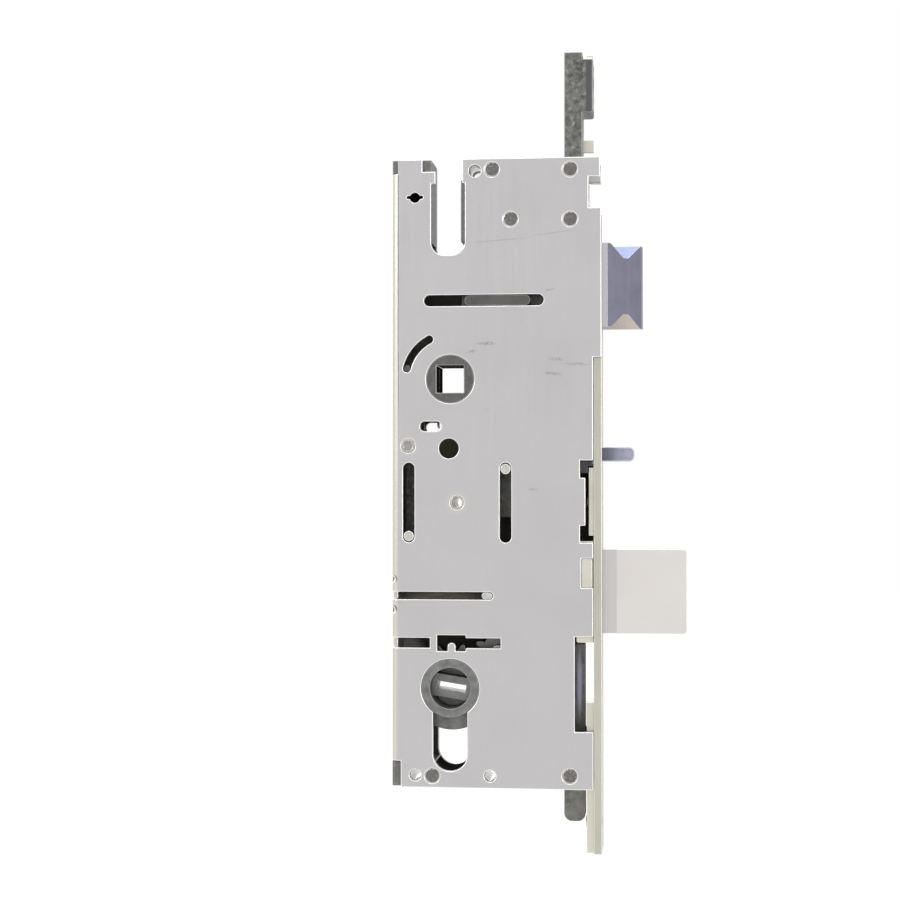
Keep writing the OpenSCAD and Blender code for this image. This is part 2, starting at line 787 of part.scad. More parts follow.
module reversing_pinion() {
    color([0.5, 0.5, 0.48]) difference() {
        union() {
            slab(lower_y0, upper_y1) translate([pinion_x, pinion_zc]) gear(pinion_m, pinion_z, 0, pinion_z);
            pin(pinion_x, pinion_zc, 4.5, -inner_y + slide_gap, lower_y0);
        }
        pin(pinion_x, pinion_zc, post_r + running, -inner_y, inner_y);
    }
}

// Square hole for the spindle
module spindle_hole() {
    translate([-spindle_sq / 2 - 0.1, -20, -spindle_sq / 2 - 0.1])
        cube([spindle_sq + 0.2, 40, spindle_sq + 0.2]);
}

// Arm of a follower, with a round end
module arm(angle, r, w, tip_r) {
    translate([0, 0]) rotate(angle) translate([0, -w / 2]) square([r, w]);
    translate(polar(r, angle)) circle(tip_r);
}

module lift_follower() {
    color([0.47, 0.47, 0.46]) difference() {
        union() {
            slab(split, split + arm_t) {
                circle(follower_r);
                arm(lift_deg / 2, lift_r, 6, 3.3);
                arm(stop_deg, stop_r, 4, 2.1);
            }
            pin(0, 0, journal_r, split + arm_t, half_w - 0.1);
        }
        spindle_hole();
        pin(polar(lift_r, lift_deg / 2)[0], polar(lift_r, lift_deg / 2)[1], lift_pin_r, split + 1, 20);
        pin(polar(stop_r, stop_deg)[0], polar(stop_r, stop_deg)[1], stop_pin_r, -1, split + 2);
    }
}

module lift_drive_pin() {
    color([0.7, 0.7, 0.7]) pin(polar(lift_r, lift_deg / 2)[0], polar(lift_r, lift_deg / 2)[1],
        lift_pin_r, split + 1, lower_y1 - 0.1);
}

module follower_stop_pin() {
    color([0.7, 0.7, 0.7]) pin(polar(stop_r, stop_deg)[0], polar(stop_r, stop_deg)[1],
        stop_pin_r, -half_w + stop_pin_sunk, split + 2);
}

module lift_follower_spring() {
    r = 0.4;
    turn_r = journal_r + 0.75;
    y0 = upper_y1 - 0.5;
    y1 = split + arm_t + 0.6;
    path = concat([[-5.2, half_w - 0.6, -14.1], [-5.2, y0, -13.4], [-5.2, y0, -11]],
        coil_path(y0, y1, turn_r, 222, 1.25, -1), [[-7.5, y1, 4.5], [-8.6, y1, 7.3]]);
    echo(gap_lift_follower_spring_mm = turn_gap(path, r, 12));
    color([0.75, 0.75, 0.73]) wire(path, r);
}

module latch_follower() {
    tip = polar(latch_arm_r, latch_arm_deg);
    color([0.47, 0.47, 0.46]) difference() {
        union() {
            slab(-split - arm_t, -split) {
                circle(follower_r);
                arm(latch_arm_deg, latch_arm_r, 3.2, latch_tip_r);
            }
            pin(0, 0, journal_r, -half_w + 0.1, -split - arm_t);
        }
        spindle_hole();
    }
}

module latch_follower_spring() {
    r = 0.4;
    turn_r = journal_r + 0.85;
    y0 = -inner_y + 0.6;
    y1 = -split - arm_t - 0.6;
    path = concat([[-10, y0, -20.4], [-9.2, y0, -12]], coil_path(y0, y1, turn_r, 200, 1.5, 1),
        [[7.2, y1, 6.5], [6.5, y1, 11], [6.5, y1 + 1.8, 11.6]]);
    echo(gap_latch_follower_spring_mm = turn_gap(path, r, 12));
    color([0.75, 0.75, 0.73]) wire(path, r);
}

// Outline of the latch head seen from the front, grooved at the top and at the bottom
module latch_outline() {
    w = latch_w / 2;
    difference() {
        area(-w, latch_z, w, latch_top);
        for (s = [1, -1]) translate([0, s > 0 ? latch_top : latch_z])
            polygon([[-w + 1.2, s * 0.1], [-0.8, -s * groove_d], [0.8, -s * groove_d], [w - 1.2, s * 0.1]]);
    }
}

module latch_head() {
    w = latch_w / 2;
    flat = 1.5;
    tip = backset + latch_throw;
    color([0.52, 0.52, 0.62]) difference() {
        bar(head_back, tip) latch_outline();
        translate([0, 0, latch_z - 1]) linear_extrude(latch_h + 2) polygon([[backset + flat, -w - 0.1],
            [tip - 0.4, w - 0.9], [tip + 0.1, w + 0.1], [tip + 5, w + 0.1], [tip + 5, -w - 0.1]]);
    }
}

module latch_tail() {
    arm_x = latch_arm_r * cos(latch_arm_deg) - latch_tip_r - 0.15;
    color([0.5, 0.5, 0.48]) {
        slab(-tail_half, tail_half) area(lug_x0 - 1.3, tail_z0, head_back, tail_z1);
        slab(-half_w + skin, -tail_half) slot_h(lug_x0, lug_x1, lug_z, lug_h);
        slab(-tail_half, -split - 0.2) area(arm_x - 3.6, 14, arm_x, tail_z0);
    }
}

module latch_spring() {
    r = 0.4;
    path = spring_path(bracket_x1 + r + 0.1, head_back - r - 0.1, latch_spring_z, latch_spring_r - r, 8);
    echo(gap_latch_spring_mm = turn_gap(path, r, 8));
    color([0.78, 0.78, 0.76]) wire(path, r);
}

module deadbolt() {
    edge = 0.7;
    color([0.78, 0.78, 0.77]) slab(-bolt_t / 2, bolt_t / 2) difference() {
        polygon([[bolt_back, bolt_z0], [backset + bolt_throw - edge, bolt_z0],
            [backset + bolt_throw, bolt_z0 + edge], [backset + bolt_throw, bolt_z1 - edge],
            [backset + bolt_throw - edge, bolt_z1], [bolt_back, bolt_z1]]);
        rack_spaces();
    }
}

// Tooth spaces cut up into the lower edge of the deadbolt
module rack_spaces() {
    step = cam_m * PI;
    half = cam_m * PI / 4 + backlash / 4;
    tip = tip_k * cam_m;
    root = root_k * cam_m;
    lean = tan(pressure);
    count = floor((bolt_throw + 6) / step);
    for (k = [-1:count]) translate([rack_gap_x + k * step, rack_pitch_z])
        polygon([[-half + root * lean, root], [half - root * lean, root],
            [half + (tip + 0.1) * lean, -tip - 0.1], [-half - (tip + 0.1) * lean, -tip - 0.1]]);
}

module deadbolt_guide_lug() {
    color([0.85, 0.84, 0.82]) slab(-half_w + skin, -bolt_t / 2)
        slot_h(bolt_back, bolt_back + 3.2, bolt_slot_z, bolt_slot_w - 0.2);
}

module idler_pinion() {
    color([0.5, 0.5, 0.48]) slab(-gear_half, gear_half) translate([idler_xc, idler_zc]) difference() {
        gear(cam_m, idler_z, idler_top, idler_z);
        circle(1.5 + running);
    }
}

module cam_gear() {
    color([0.4, 0.4, 0.39]) difference() {
        union() {
            slab(-gear_half, gear_half) translate([0, -pz]) {
                gear(cam_m, cam_z, mesh_deg - 360 / cam_z, ceil(cam_turn / (360 / cam_z)) + 3);
                lower_disc();
            }
            pin(0, -pz, cam_journal_r, -half_w + skin, half_w - skin);
        }
        pin(0, -pz, cam_bore_r, -half_w, half_w);
    }
}

// Toothless rest of the cam gear
module lower_disc() {
    first = mesh_deg + cam_turn + 60;
    rim = cam_r + tip_k * cam_m;
    intersection() {
        circle(rim);
        polygon([[0, 0], polar(40, first), polar(40, first + 50), polar(40, first + 100)]);
    }
}

module cylinder_cam() {
    tilt = -9;
    color([0.36, 0.36, 0.35]) {
        slab(-4.2, cam_floor_y) cam_web(tilt) translate([-8, -3.4]) square([16, 6.8]);
        slab(cam_floor_y, 4.2) cam_web(tilt) circle(cam_bore_r);
    }
}

// Outline that fills the cam gear's bore within a shape, with the slot for the cylinder's tail
module cam_web(tilt) {
    translate([0, -pz]) rotate(tilt) difference() {
        intersection() {
            circle(cam_bore_r - 0.02);
            children();
        }
        translate([-4.3, -1.15]) square([8.6, 2.3]);
    }
}

module trigger() {
    w = trig_w / 2;
    nose = 1.6;
    color([0.5, 0.53, 0.64]) {
        difference() {
            slab(-w, w) union() {
                area(face_back - 1, trig_zc - trig_h / 2, backset + trig_out - nose, trig_zc + trig_h / 2);
                area(backset + trig_out - nose - 0.1, trig_zc - trig_h / 2 + nose,
                    backset + trig_out, trig_zc + trig_h / 2 - nose);
                for (s = [-1, 1]) translate([backset + trig_out - nose, trig_zc + s * (trig_h / 2 - nose)])
                    circle(nose);
            }
            translate([0, 0, trig_zc - trig_h]) linear_extrude(2 * trig_h) polygon([
                [backset + 1.5, -w - 0.1], [backset + trig_out + 0.1, w - 1.2],
                [backset + trig_out + 3, w - 1.2], [backset + trig_out + 3, -w - 0.1]]);
        }
        slab(-w, w) area(face_back - trig_flange_t - 0.3, trig_zc - trig_flange_h / 2,
            face_back - 0.3, trig_zc + trig_flange_h / 2);
    }
}

module trigger_spring() {
    r = 0.3;
    path = spring_path(housing_x0 + housing_wall + r + 0.1, face_back - trig_flange_t - r - 0.4,
        trig_zc, trig_spring_r - r, 8);
    echo(gap_trigger_spring_mm = turn_gap(path, r, 8));
    color([0.78, 0.78, 0.76]) wire(path, r);
}

cover_plate();
back_plate();
faceplate();
backing_strip();
screw_anchor_plate();
faceplate_screws();
case_rivets();
top_rear_spacer();
top_front_spacer();
bottom_spacer();
front_foot_spacer();
slide_guide_rail();
latch_spring_bracket();
trigger_housing();
deadbolt_guide();
pinion_post();
idler_post();
spring_post();
upper_slide();
slide_screws();
slide_clip_spring();
upper_guide_pin();
lower_slide();
lower_guide_pin();
reversing_pinion();
lift_follower();
follower_stop_pin();
lift_drive_pin();
lift_follower_spring();
latch_follower();
latch_follower_spring();
latch_head();
latch_tail();
latch_spring();
deadbolt();
deadbolt_guide_lug();
idler_pinion();
cam_gear();
cylinder_cam();
trigger();
trigger_spring();
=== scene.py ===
"""Looks of a multipoint door lock's centre gearbox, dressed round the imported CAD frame."""

import logging
import math
from dataclasses import dataclass, field, replace
from enum import Enum
from typing import Callable, Sequence

import bmesh
import bpy
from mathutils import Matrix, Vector


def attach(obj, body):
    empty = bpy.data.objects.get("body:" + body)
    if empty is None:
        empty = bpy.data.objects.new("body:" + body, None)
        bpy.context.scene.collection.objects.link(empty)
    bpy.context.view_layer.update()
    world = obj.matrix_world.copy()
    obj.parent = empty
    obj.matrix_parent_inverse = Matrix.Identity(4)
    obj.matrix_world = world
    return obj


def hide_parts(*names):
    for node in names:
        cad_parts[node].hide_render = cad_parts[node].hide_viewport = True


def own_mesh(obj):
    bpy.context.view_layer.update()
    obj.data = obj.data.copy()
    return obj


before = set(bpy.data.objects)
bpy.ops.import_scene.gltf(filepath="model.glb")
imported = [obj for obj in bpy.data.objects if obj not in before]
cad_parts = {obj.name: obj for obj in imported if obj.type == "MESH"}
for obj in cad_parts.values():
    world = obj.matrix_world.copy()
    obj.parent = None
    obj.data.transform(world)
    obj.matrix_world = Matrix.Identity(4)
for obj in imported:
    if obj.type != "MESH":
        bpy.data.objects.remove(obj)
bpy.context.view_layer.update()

LOG = logging.getLogger("door_lock")
MM = 0.001
# Area of a flat face, in square metres, over which its edges stay sharp
BROAD_FACE = 0.0004
# Angles between faces, in degrees, over which an edge stays sharp
SHARP_ANGLE = 32.0
TURNED_ANGLE = 38.0
WIRE_ANGLE = 50.0
# Cleaning of the CAD meshes, in metres and degrees, and the angle from which an edge is broken
WELD = 2e-6
FLAT_ANGLE = 0.6
BEVEL_ANGLE = 34.0
# Most that a wall along Y leans, as the Y of its normal
WALL_LEAN = 0.1
# A direction that no wire of the lock runs along, and the points round a screw or rivet
OFF_WIRES = Vector((0.31, 0.52, 0.8))
FINE_ROUND = 96
Colour = tuple[float, float, float]
Point = tuple[float, float, float]
Angular = Callable[[float], float]
Ring = tuple[Angular, Angular]
FaceTest = Callable[[bmesh.types.BMFace], bool]


class Grain(Enum):
    """How a surface was left, as cells of noise per metre along X, Y and Z."""

    ROLLED_Z = (900.0, 900.0, 45.0)
    ROLLED_X = (45.0, 900.0, 900.0)
    CAST = (700.0, 700.0, 700.0)
    MOULDED = (1500.0, 1500.0, 1500.0)


class Turning(Enum):
    """Axis that a turned piece is made about."""

    ALONG_X = "x"
    ALONG_Y = "y"


@dataclass(frozen=True)
class Mark:
    """A patch over a finish: a faint handling mark, a worn place, a painted highlight or a painted shade.

    The mark is an ellipse at x, y, z in mm, with its length and width in mm, turned by angle in degrees. How
    strongly it shows is its depth. Where no tint is given it is a ragged rub in a darker shade of the finish,
    and otherwise it is smooth.
    """

    x: float
    z: float
    length: float
    width: float
    angle: float
    depth: float
    y: float = -8.5
    tint: Colour | None = None


@dataclass(frozen=True)
class Band:
    """A band of another shade between two places along X, in mm."""

    start: float
    end: float
    tint: Colour


@dataclass(frozen=True)
class Finish:
    """One metal or plastic finish, made as a procedural material.

    The base colour has clouds of the patch colour over it, patch_size of them to the metre, and pale grains
    where speck is given. Faces that look up or down take the flank colours, as painted reflections.
    """

    name: str
    base: Colour
    patch: Colour
    metallic: float = 0.85
    roughness: float = 0.38
    grain: Grain = Grain.ROLLED_Z
    grain_depth: float = 0.06
    patch_size: float = 90.0
    patch_amount: float = 0.5
    speck: float = 0.0
    flank_up: Colour | None = None
    flank_down: Colour | None = None
    marks: tuple[Mark, ...] = ()
    band: Band | None = None
    gloss: float = 0.5

    def material(self) -> bpy.types.Material:
        """Makes the material, or finds the one already made.

        Returns:
            The Blender material of this finish.
        """
        if self.name not in MADE:
            MADE[self.name] = FinishGraph(self).build()
        return MADE[self.name]


MADE: dict[str, bpy.types.Material] = {}


@dataclass
class FinishGraph:
    """Builds the shader nodes of one finish."""

    finish: Finish
    tree: bpy.types.NodeTree | None = field(default=None, init=False)
    cloud_ramp: tuple[float, float] = (0.35, 0.7)
    grit_ramp: tuple[float, float] = (0.2, 0.8)
    speck_ramp: tuple[float, float] = (0.55, 0.75)
    flank_ramp: tuple[float, float] = (0.25, 0.6)
    mark_ramp: tuple[float, float] = (0.05, 0.55)
    rub_ramp: tuple[float, float] = (0.35, 0.6)
    cloud_detail: float = 4.0
    fine_detail: float = 3.0
    rub_cells: float = 1400.0
    rub_shade: float = 0.4
    mark_reach: float = 1.0
    band_blur: float = 0.12
    speck_gain: float = 2.1
    speck_lift: float = 0.03
    roughness_swing: float = 0.16
    bump_height: float = 0.05

    def node(self, kind: str, **values: object) -> bpy.types.Node:
        """Adds a node and sets its properties.

        Args:
            kind: Blender's identifier of the node.
            values: properties to set on it.

        Returns:
            The new node.
        """
        made = self.tree.nodes.new(kind)
        for key, value in values.items():
            setattr(made, key, value)
        return made

    def link(self, source: bpy.types.NodeSocket, target: bpy.types.NodeSocket) -> None:
        """Joins two sockets."""
        self.tree.links.new(source, target)

    def noise(self, where: bpy.types.NodeSocket, stretch: Sequence[float],
              detail: float) -> bpy.types.NodeSocket:
        """Adds a noise stretched along the axes.

        Args:
            where: coordinates to read.
            stretch: cells per metre along each axis.
            detail: octaves of the noise.

        Returns:
            The noise value's socket.
        """
        mapping = self.node("ShaderNodeMapping")
        mapping.inputs["Scale"].default_value = stretch
        self.link(where, mapping.inputs["Vector"])
        made = self.node("ShaderNodeTexNoise")
        made.inputs["Scale"].default_value = 1.0
        made.inputs["Detail"].default_value = detail
        self.link(mapping.outputs["Vector"], made.inputs["Vector"])
        return made.outputs["Fac"]

    def ramp(self, source: bpy.types.NodeSocket, span: Sequence[float],
             top: float = 1.0) -> bpy.types.NodeSocket:
        """Maps a span of values onto 0 to top.

        Args:
            source: socket of the value.
            span: values that become 0 and top.
            top: the largest result.

        Returns:
            The result's socket.
        """
        made = self.node("ShaderNodeMapRange")
        for key, value in (("From Min", span[0]), ("From Max", span[1]), ("To Min", 0.0), ("To Max", top)):
            made.inputs[key].default_value = value
        self.link(source, made.inputs["Value"])
        return made.outputs["Result"]

    def product(self, first: bpy.types.NodeSocket, second: bpy.types.NodeSocket) -> bpy.types.NodeSocket:
        """Multiplies two values.

        Args:
            first: socket of the one.
            second: socket of the other.

        Returns:
            The product's socket.
        """
        made = self.node("ShaderNodeMath", operation="MULTIPLY")
        self.link(first, made.inputs[0])
        self.link(second, made.inputs[1])
        return made.outputs[0]

    def mix(self, amount: bpy.types.NodeSocket, first: object, second: object) -> bpy.types.NodeSocket:
        """Mixes two colours.

        Args:
            amount: socket that gives how much of the second shows.
            first: colour, or the socket of one.
            second: colour, or the socket of one.

        Returns:
            The mixed colour's socket.
        """
        made = self.node("ShaderNodeMix", data_type="RGBA")
        self.link(amount, made.inputs["Factor"])
        for key, value in ((6, first), (7, second)):
            if isinstance(value, bpy.types.NodeSocket):
                self.link(value, made.inputs[key])
            else:
                made.inputs[key].default_value = (*value, 1.0)
        return made.outputs[2]

    def marked(self, where: bpy.types.NodeSocket, colour: bpy.types.NodeSocket) -> bpy.types.NodeSocket:
        """Lays the marks over a colour: handling marks, worn places, painted highlights and painted shade.

        Args:
            where: coordinates to read.
            colour: socket of the colour.

        Returns:
            The marked colour's socket.
        """
        broken = self.ramp(self.noise(where, (self.rub_cells,) * 3, self.fine_detail), self.rub_ramp)
        for mark in self.finish.marks:
            half_size = (mark.length * MM / 2, self.mark_reach * MM, mark.width * MM / 2)
            place = self.node("ShaderNodeMapping", vector_type="TEXTURE")
            place.inputs["Location"].default_value = (mark.x * MM, mark.y * MM, mark.z * MM)
            place.inputs["Rotation"].default_value = (0.0, -math.radians(mark.angle), 0.0)
            place.inputs["Scale"].default_value = half_size
            self.link(where, place.inputs["Vector"])
            ball = self.node("ShaderNodeTexGradient", gradient_type="SPHERICAL")
            self.link(place.outputs["Vector"], ball.inputs["Vector"])
            shape = ball.outputs["Fac"] if mark.tint else self.product(ball.outputs["Fac"], broken)
            tint = mark.tint or tuple(self.rub_shade * part for part in self.finish.base)
            colour = self.mix(self.ramp(shape, self.mark_ramp, mark.depth), colour, tint)
        return colour

    def banded(self, where: bpy.types.NodeSocket, colour: bpy.types.NodeSocket) -> bpy.types.NodeSocket:
        """Lays the band of another shade over a colour.

        Args:
            where: coordinates to read.
            colour: socket of the colour.

        Returns:
            The socket of the colour with its band.
        """
        band, blur = self.finish.band, self.band_blur
        parts = self.node("ShaderNodeSeparateXYZ")
        self.link(where, parts.inputs["Vector"])
        begun = self.ramp(parts.outputs["X"], ((band.start - blur) * MM, (band.start + blur) * MM))
        not_ended = self.ramp(parts.outputs["X"], ((band.end + blur) * MM, (band.end - blur) * MM))
        return self.mix(self.product(begun, not_ended), colour, band.tint)

    def flanked(self, colour: bpy.types.NodeSocket) -> bpy.types.NodeSocket:
        """Tints up- and down-facing faces with a painted reflection of the surroundings on a bright latch.

        Args:
            colour: socket of the colour.

        Returns:
            The tinted colour's socket.
        """
        facing = self.node("ShaderNodeSeparateXYZ")
        self.link(self.node("ShaderNodeNewGeometry").outputs["Normal"], facing.inputs["Vector"])
        up = self.ramp(facing.outputs["Z"], self.flank_ramp)
        down = self.ramp(facing.outputs["Z"], [-edge for edge in self.flank_ramp])
        return self.mix(down, self.mix(up, colour, self.finish.flank_up), self.finish.flank_down)

    def colour(self, where: bpy.types.NodeSocket, grit: bpy.types.NodeSocket) -> bpy.types.NodeSocket:
        """Makes the finish's colour, with its clouds, grains, tints and marks.

        Args:
            where: coordinates to read.
            grit: socket of the grain's noise.

        Returns:
            The colour's socket.
        """
        finish = self.finish
        cloud = self.noise(where, (finish.patch_size,) * 3, self.cloud_detail)
        colour = self.mix(self.ramp(cloud, self.cloud_ramp, finish.patch_amount), finish.base, finish.patch)
        if finish.speck:
            pale = tuple(min(1.0, part * self.speck_gain + self.speck_lift) for part in finish.base)
            colour = self.mix(self.ramp(grit, self.speck_ramp, finish.speck), colour, pale)
        if finish.flank_up:
            colour = self.flanked(colour)
        if finish.band:
            colour = self.banded(where, colour)
        if finish.marks:
            colour = self.marked(where, colour)
        return colour

    def build(self) -> bpy.types.Material:
        """Makes the whole graph.

        Returns:
            The finished material.
        """
        finish = self.finish
        material = bpy.data.materials.new(f"look_{finish.name}")
        material.use_nodes = True
        material.diffuse_color = (*finish.base, 1.0)
        self.tree = material.node_tree
        shader = self.tree.nodes["Principled BSDF"]
        shader.inputs["Metallic"].default_value = finish.metallic
        shader.inputs["Specular IOR Level"].default_value = finish.gloss
        where = self.node("ShaderNodeTexCoord").outputs["Object"]
        grit = self.noise(where, finish.grain.value, self.fine_detail)
        self.link(self.colour(where, grit), shader.inputs["Base Color"])
        rough = self.node("ShaderNodeMath", operation="ADD")
        rough.inputs[0].default_value = finish.roughness - self.roughness_swing / 2
        self.link(self.ramp(grit, self.grit_ramp, self.roughness_swing), rough.inputs[1])
        self.link(rough.outputs[0], shader.inputs["Roughness"])
        bump = self.node("ShaderNodeBump")
        bump.inputs["Strength"].default_value = finish.grain_depth
        bump.inputs["Distance"].default_value = self.bump_height * MM
        self.link(grit, bump.inputs["Height"])
        self.link(bump.outputs["Normal"], shader.inputs["Normal"])
        return material


# Pale rings painted round two posts on the plate: painted highlights.
HALO_HIGHLIGHT = (0.6, 0.565, 0.51)
SCRATCH = (0.37, 0.365, 0.365)
SHADE = (0.03, 0.027, 0.024)
PLATE_MARKS = (
    Mark(10.9, 10.5, 7.6, 1.5, 0.0, 0.6),
    Mark(6.4, 8.2, 5.0, 1.2, 15.0, 0.5),
    Mark(31.5, 5.8, 6.0, 1.4, -6.0, 0.55),
    Mark(37.5, 4.3, 10.0, 1.2, -3.0, 0.45),
    Mark(30.7, 1.4, 7.4, 1.2, -5.0, 0.5),
    Mark(24.6, -32.9, 4.0, 1.3, 0.0, 0.4),
    Mark(29.7, 26.4, 4.0, 1.1, 12.0, 0.45),
    Mark(14.5, 41.2, 22.0, 0.5, 4.0, 0.65, tint=SCRATCH),
    Mark(30.5, 43.2, 18.0, 0.5, 7.0, 0.55, tint=SCRATCH),
    Mark(10.9, -9.4, 4.0, 2.2, 10.0, 0.3, tint=(0.5, 0.43, 0.43)),
    Mark(2.05, -36.8, 8.6, 8.6, 0.0, 0.6, tint=HALO_HIGHLIGHT),
    Mark(-12.6, -19.9, 7.2, 7.2, 0.0, 0.6, tint=HALO_HIGHLIGHT),
    Mark(-16.7, -59.5, 2.4, 2.6, 0.0, 1.0, -8.0, SHADE),
    Mark(-16.7, -68.5, 2.4, 2.6, 0.0, 1.0, -8.0, SHADE),
)
# Lighter patches on the painted-shade inner faces: painted light where lit parts and glints show through.
INNER_LIT_PATCHES = (
    Mark(-6.6, 40.6, 9.0, 9.0, 0.0, 1.0, 6.9, (0.6, 0.58, 0.54)),
    Mark(42.5, 62.0, 12.0, 6.0, 0.0, 1.0, 6.9, (0.75, 0.73, 0.7)),
    Mark(-3.5, -67.0, 36.0, 9.0, 0.0, 1.0, 6.9, (0.9, 0.8, 0.66)),
    Mark(-2.1, -20.0, 10.0, 10.0, 0.0, 0.9, 6.9, (0.4, 0.36, 0.27)),
    Mark(-14.5, -81.5, 12.0, 9.0, 0.0, 1.0, 6.9, (0.75, 0.74, 0.68)),
)
FACE_MARKS = (
    Mark(44.0, -8.0, 30.0, 9.0, 70.0, 0.18, 0.0),
    Mark(44.0, -104.0, 20.0, 8.0, 60.0, 0.25, 0.0),
)
LEG_WEAR = (Mark(38.05, -91.0, 25.0, 1.9, 90.0, 0.95, 0.8, (0.5, 0.5, 0.68)),)

PLATE_ZINC = Finish("plate_zinc", (0.52, 0.51, 0.512), (0.478, 0.468, 0.475), 0.8, 0.42, Grain.ROLLED_Z, 0.05,
                    45.0, 0.6, marks=PLATE_MARKS)
# The cover's paler band along its rounded fold is a painted highlight.
COVER_ZINC = replace(PLATE_ZINC, name="cover_zinc", band=Band(-17.4, -16.2, (0.62, 0.58, 0.515)))
# Near-black, unreflecting finish for the plates' inner faces: painted shade inside the case.
INNER_SHADE = Finish("inside_painted_shade", (0.14, 0.13, 0.11), (0.09, 0.085, 0.072), 0.0, 0.9, Grain.CAST, 0.1,
                    marks=INNER_LIT_PATCHES, gloss=0.0)
# A pale copy of the zinc for broken edges and the fixing holes' walls: painted highlight.
PALE_HIGHLIGHT = Finish("pale_painted_highlight", (0.88, 0.87, 0.85), (0.74, 0.73, 0.71), 0.7, 0.33, Grain.ROLLED_Z, 0.03)
FACE_SATIN = Finish("faceplate_satin", (0.53, 0.52, 0.44), (0.44, 0.43, 0.36), 0.85, 0.36, Grain.ROLLED_Z,
                    0.09, 55.0, 0.7, marks=FACE_MARKS)
# A lighter copy of the faceplate's satin for its broken edges: painted highlight.
FACE_EDGE = Finish("faceplate_edge", (0.72, 0.68, 0.62), (0.6, 0.57, 0.51), 0.8, 0.34, Grain.ROLLED_Z, 0.04)
STRIP_BRIGHT = Finish("strip_bright", (0.68, 0.65, 0.56), (0.56, 0.53, 0.45), 0.85, 0.34)
SPACER_SINTER = Finish("spacer_sintered", (0.2, 0.195, 0.185), (0.12, 0.12, 0.115), 0.6, 0.5, Grain.CAST,
                       0.35, 500.0, 0.8, 0.35)
PHOSPHATE = Finish("slide_phosphate", (0.2, 0.2, 0.187), (0.075, 0.075, 0.068), 0.65, 0.48, Grain.CAST, 0.6,
                   620.0, 1.0, 0.6, band=Band(40.4, 43.0, (0.095, 0.095, 0.1)))
LEG_PHOSPHATE = Finish("lower_leg_phosphate", (0.235, 0.235, 0.215), (0.13, 0.13, 0.117), 0.65, 0.48,
                       Grain.CAST, 0.5, 420.0, 0.8, 0.3, marks=LEG_WEAR)
# A lighter dark-metal finish for broken edges: painted highlight.
PHOSPHATE_EDGE = Finish("slide_phosphate_edge", (0.3, 0.3, 0.28), (0.18, 0.18, 0.16), 0.7, 0.42, Grain.CAST,
                        0.3)
RIVET_GREY = Finish("rivet_grey", (0.2, 0.19, 0.185), (0.08, 0.077, 0.073), 0.7, 0.42, Grain.CAST, 0.6,
                    700.0, 1.0, 0.8)
# Up-facing flanks of the latch in blue and down-facing ones in tan: painted reflections of the surroundings.
LATCH_BLUE = Finish("latch_nickel_blue", (0.204, 0.2, 0.262), (0.165, 0.16, 0.217), 0.85, 0.33,
                    Grain.ROLLED_Z, 0.05, 160.0, 0.6, flank_up=(0.2, 0.235, 0.36),
                    flank_down=(0.58, 0.52, 0.47), band=Band(45.0, 46.4, (0.55, 0.54, 0.55)))
# A lighter copy of the latch's nickel for its broken edges: painted highlight.
LATCH_EDGE = Finish("latch_edge", (0.5, 0.5, 0.58), (0.4, 0.4, 0.48), 0.85, 0.3, Grain.ROLLED_Z, 0.04)
TRIGGER_BLUE = Finish("trigger_nickel_blue", (0.135, 0.14, 0.175), (0.1, 0.104, 0.135), 0.85, 0.32,
                      Grain.ROLLED_X, 0.05, 200.0, 0.6)
# The bolt's darker band from X 40.0 to 49.3 is painted shade where the faceplate shades it.
BOLT_SATIN = Finish("bolt_satin", (0.71, 0.68, 0.655), (0.66, 0.63, 0.605), 0.85, 0.34, Grain.ROLLED_X, 0.05,
                    60.0, 0.5, band=Band(40.0, 49.3, (0.59, 0.575, 0.57)))
# A darker copy of the gear steel for parts deep in the case: painted shade.
TAIL_SHADE = Finish("latch_tail_painted_shade", (0.12, 0.117, 0.108), (0.08, 0.078, 0.07), 0.75, 0.42, Grain.CAST, 0.3,
                   300.0, 0.7)
GEAR_STEEL = Finish("gear_steel", (0.22, 0.22, 0.21), (0.13, 0.13, 0.12), 0.8, 0.4, Grain.CAST, 0.3,
                    300.0, 0.7)
FOLLOWER_CAST = Finish("follower_cast", (0.135, 0.133, 0.128), (0.08, 0.08, 0.076), 0.7, 0.45, Grain.CAST,
                       0.4, 450.0, 0.8, 0.2)
# Near black for the walls of holes into the case: painted shade.
HOLE_WALL_SHADE = Finish("hole_wall_painted_shade", (0.03, 0.028, 0.024), (0.02, 0.019, 0.017), 0.0, 0.9, Grain.CAST,
                     0.1, gloss=0.0)
CAM_CAST = Finish("cam_cast", (0.225, 0.225, 0.217), (0.12, 0.12, 0.117), 0.7, 0.42, Grain.CAST, 0.4,
                  380.0, 0.8, 0.2)
# A lighter finish for the broken edges of the cast pieces: painted highlight.
CAM_EDGE = Finish("cam_edge", (0.42, 0.41, 0.4), (0.26, 0.26, 0.25), 0.8, 0.36, Grain.CAST, 0.2)
POST_STEEL = Finish("post_steel", (0.44, 0.42, 0.385), (0.3, 0.285, 0.26), 0.85, 0.34, Grain.CAST, 0.2,
                    600.0, 0.7)
PIN_BRIGHT = Finish("pin_bright", (0.62, 0.6, 0.56), (0.4, 0.38, 0.35), 0.9, 0.3, Grain.CAST, 0.2,
                    600.0, 0.7)
SCREW_ZINC = Finish("screw_zinc_yellow", (0.56, 0.5, 0.36), (0.4, 0.35, 0.24), 0.92, 0.26, Grain.CAST, 0.15,
                    500.0, 0.6)
RECESS_DARK = Finish("screw_recess_shade", (0.2, 0.17, 0.11), (0.1, 0.085, 0.05), 0.9, 0.4, Grain.CAST, 0.2)
SPRING_WIRE = Finish("spring_wire", (0.5, 0.49, 0.46), (0.36, 0.35, 0.33), 0.9, 0.3, Grain.CAST, 0.1,
                     800.0, 0.6)
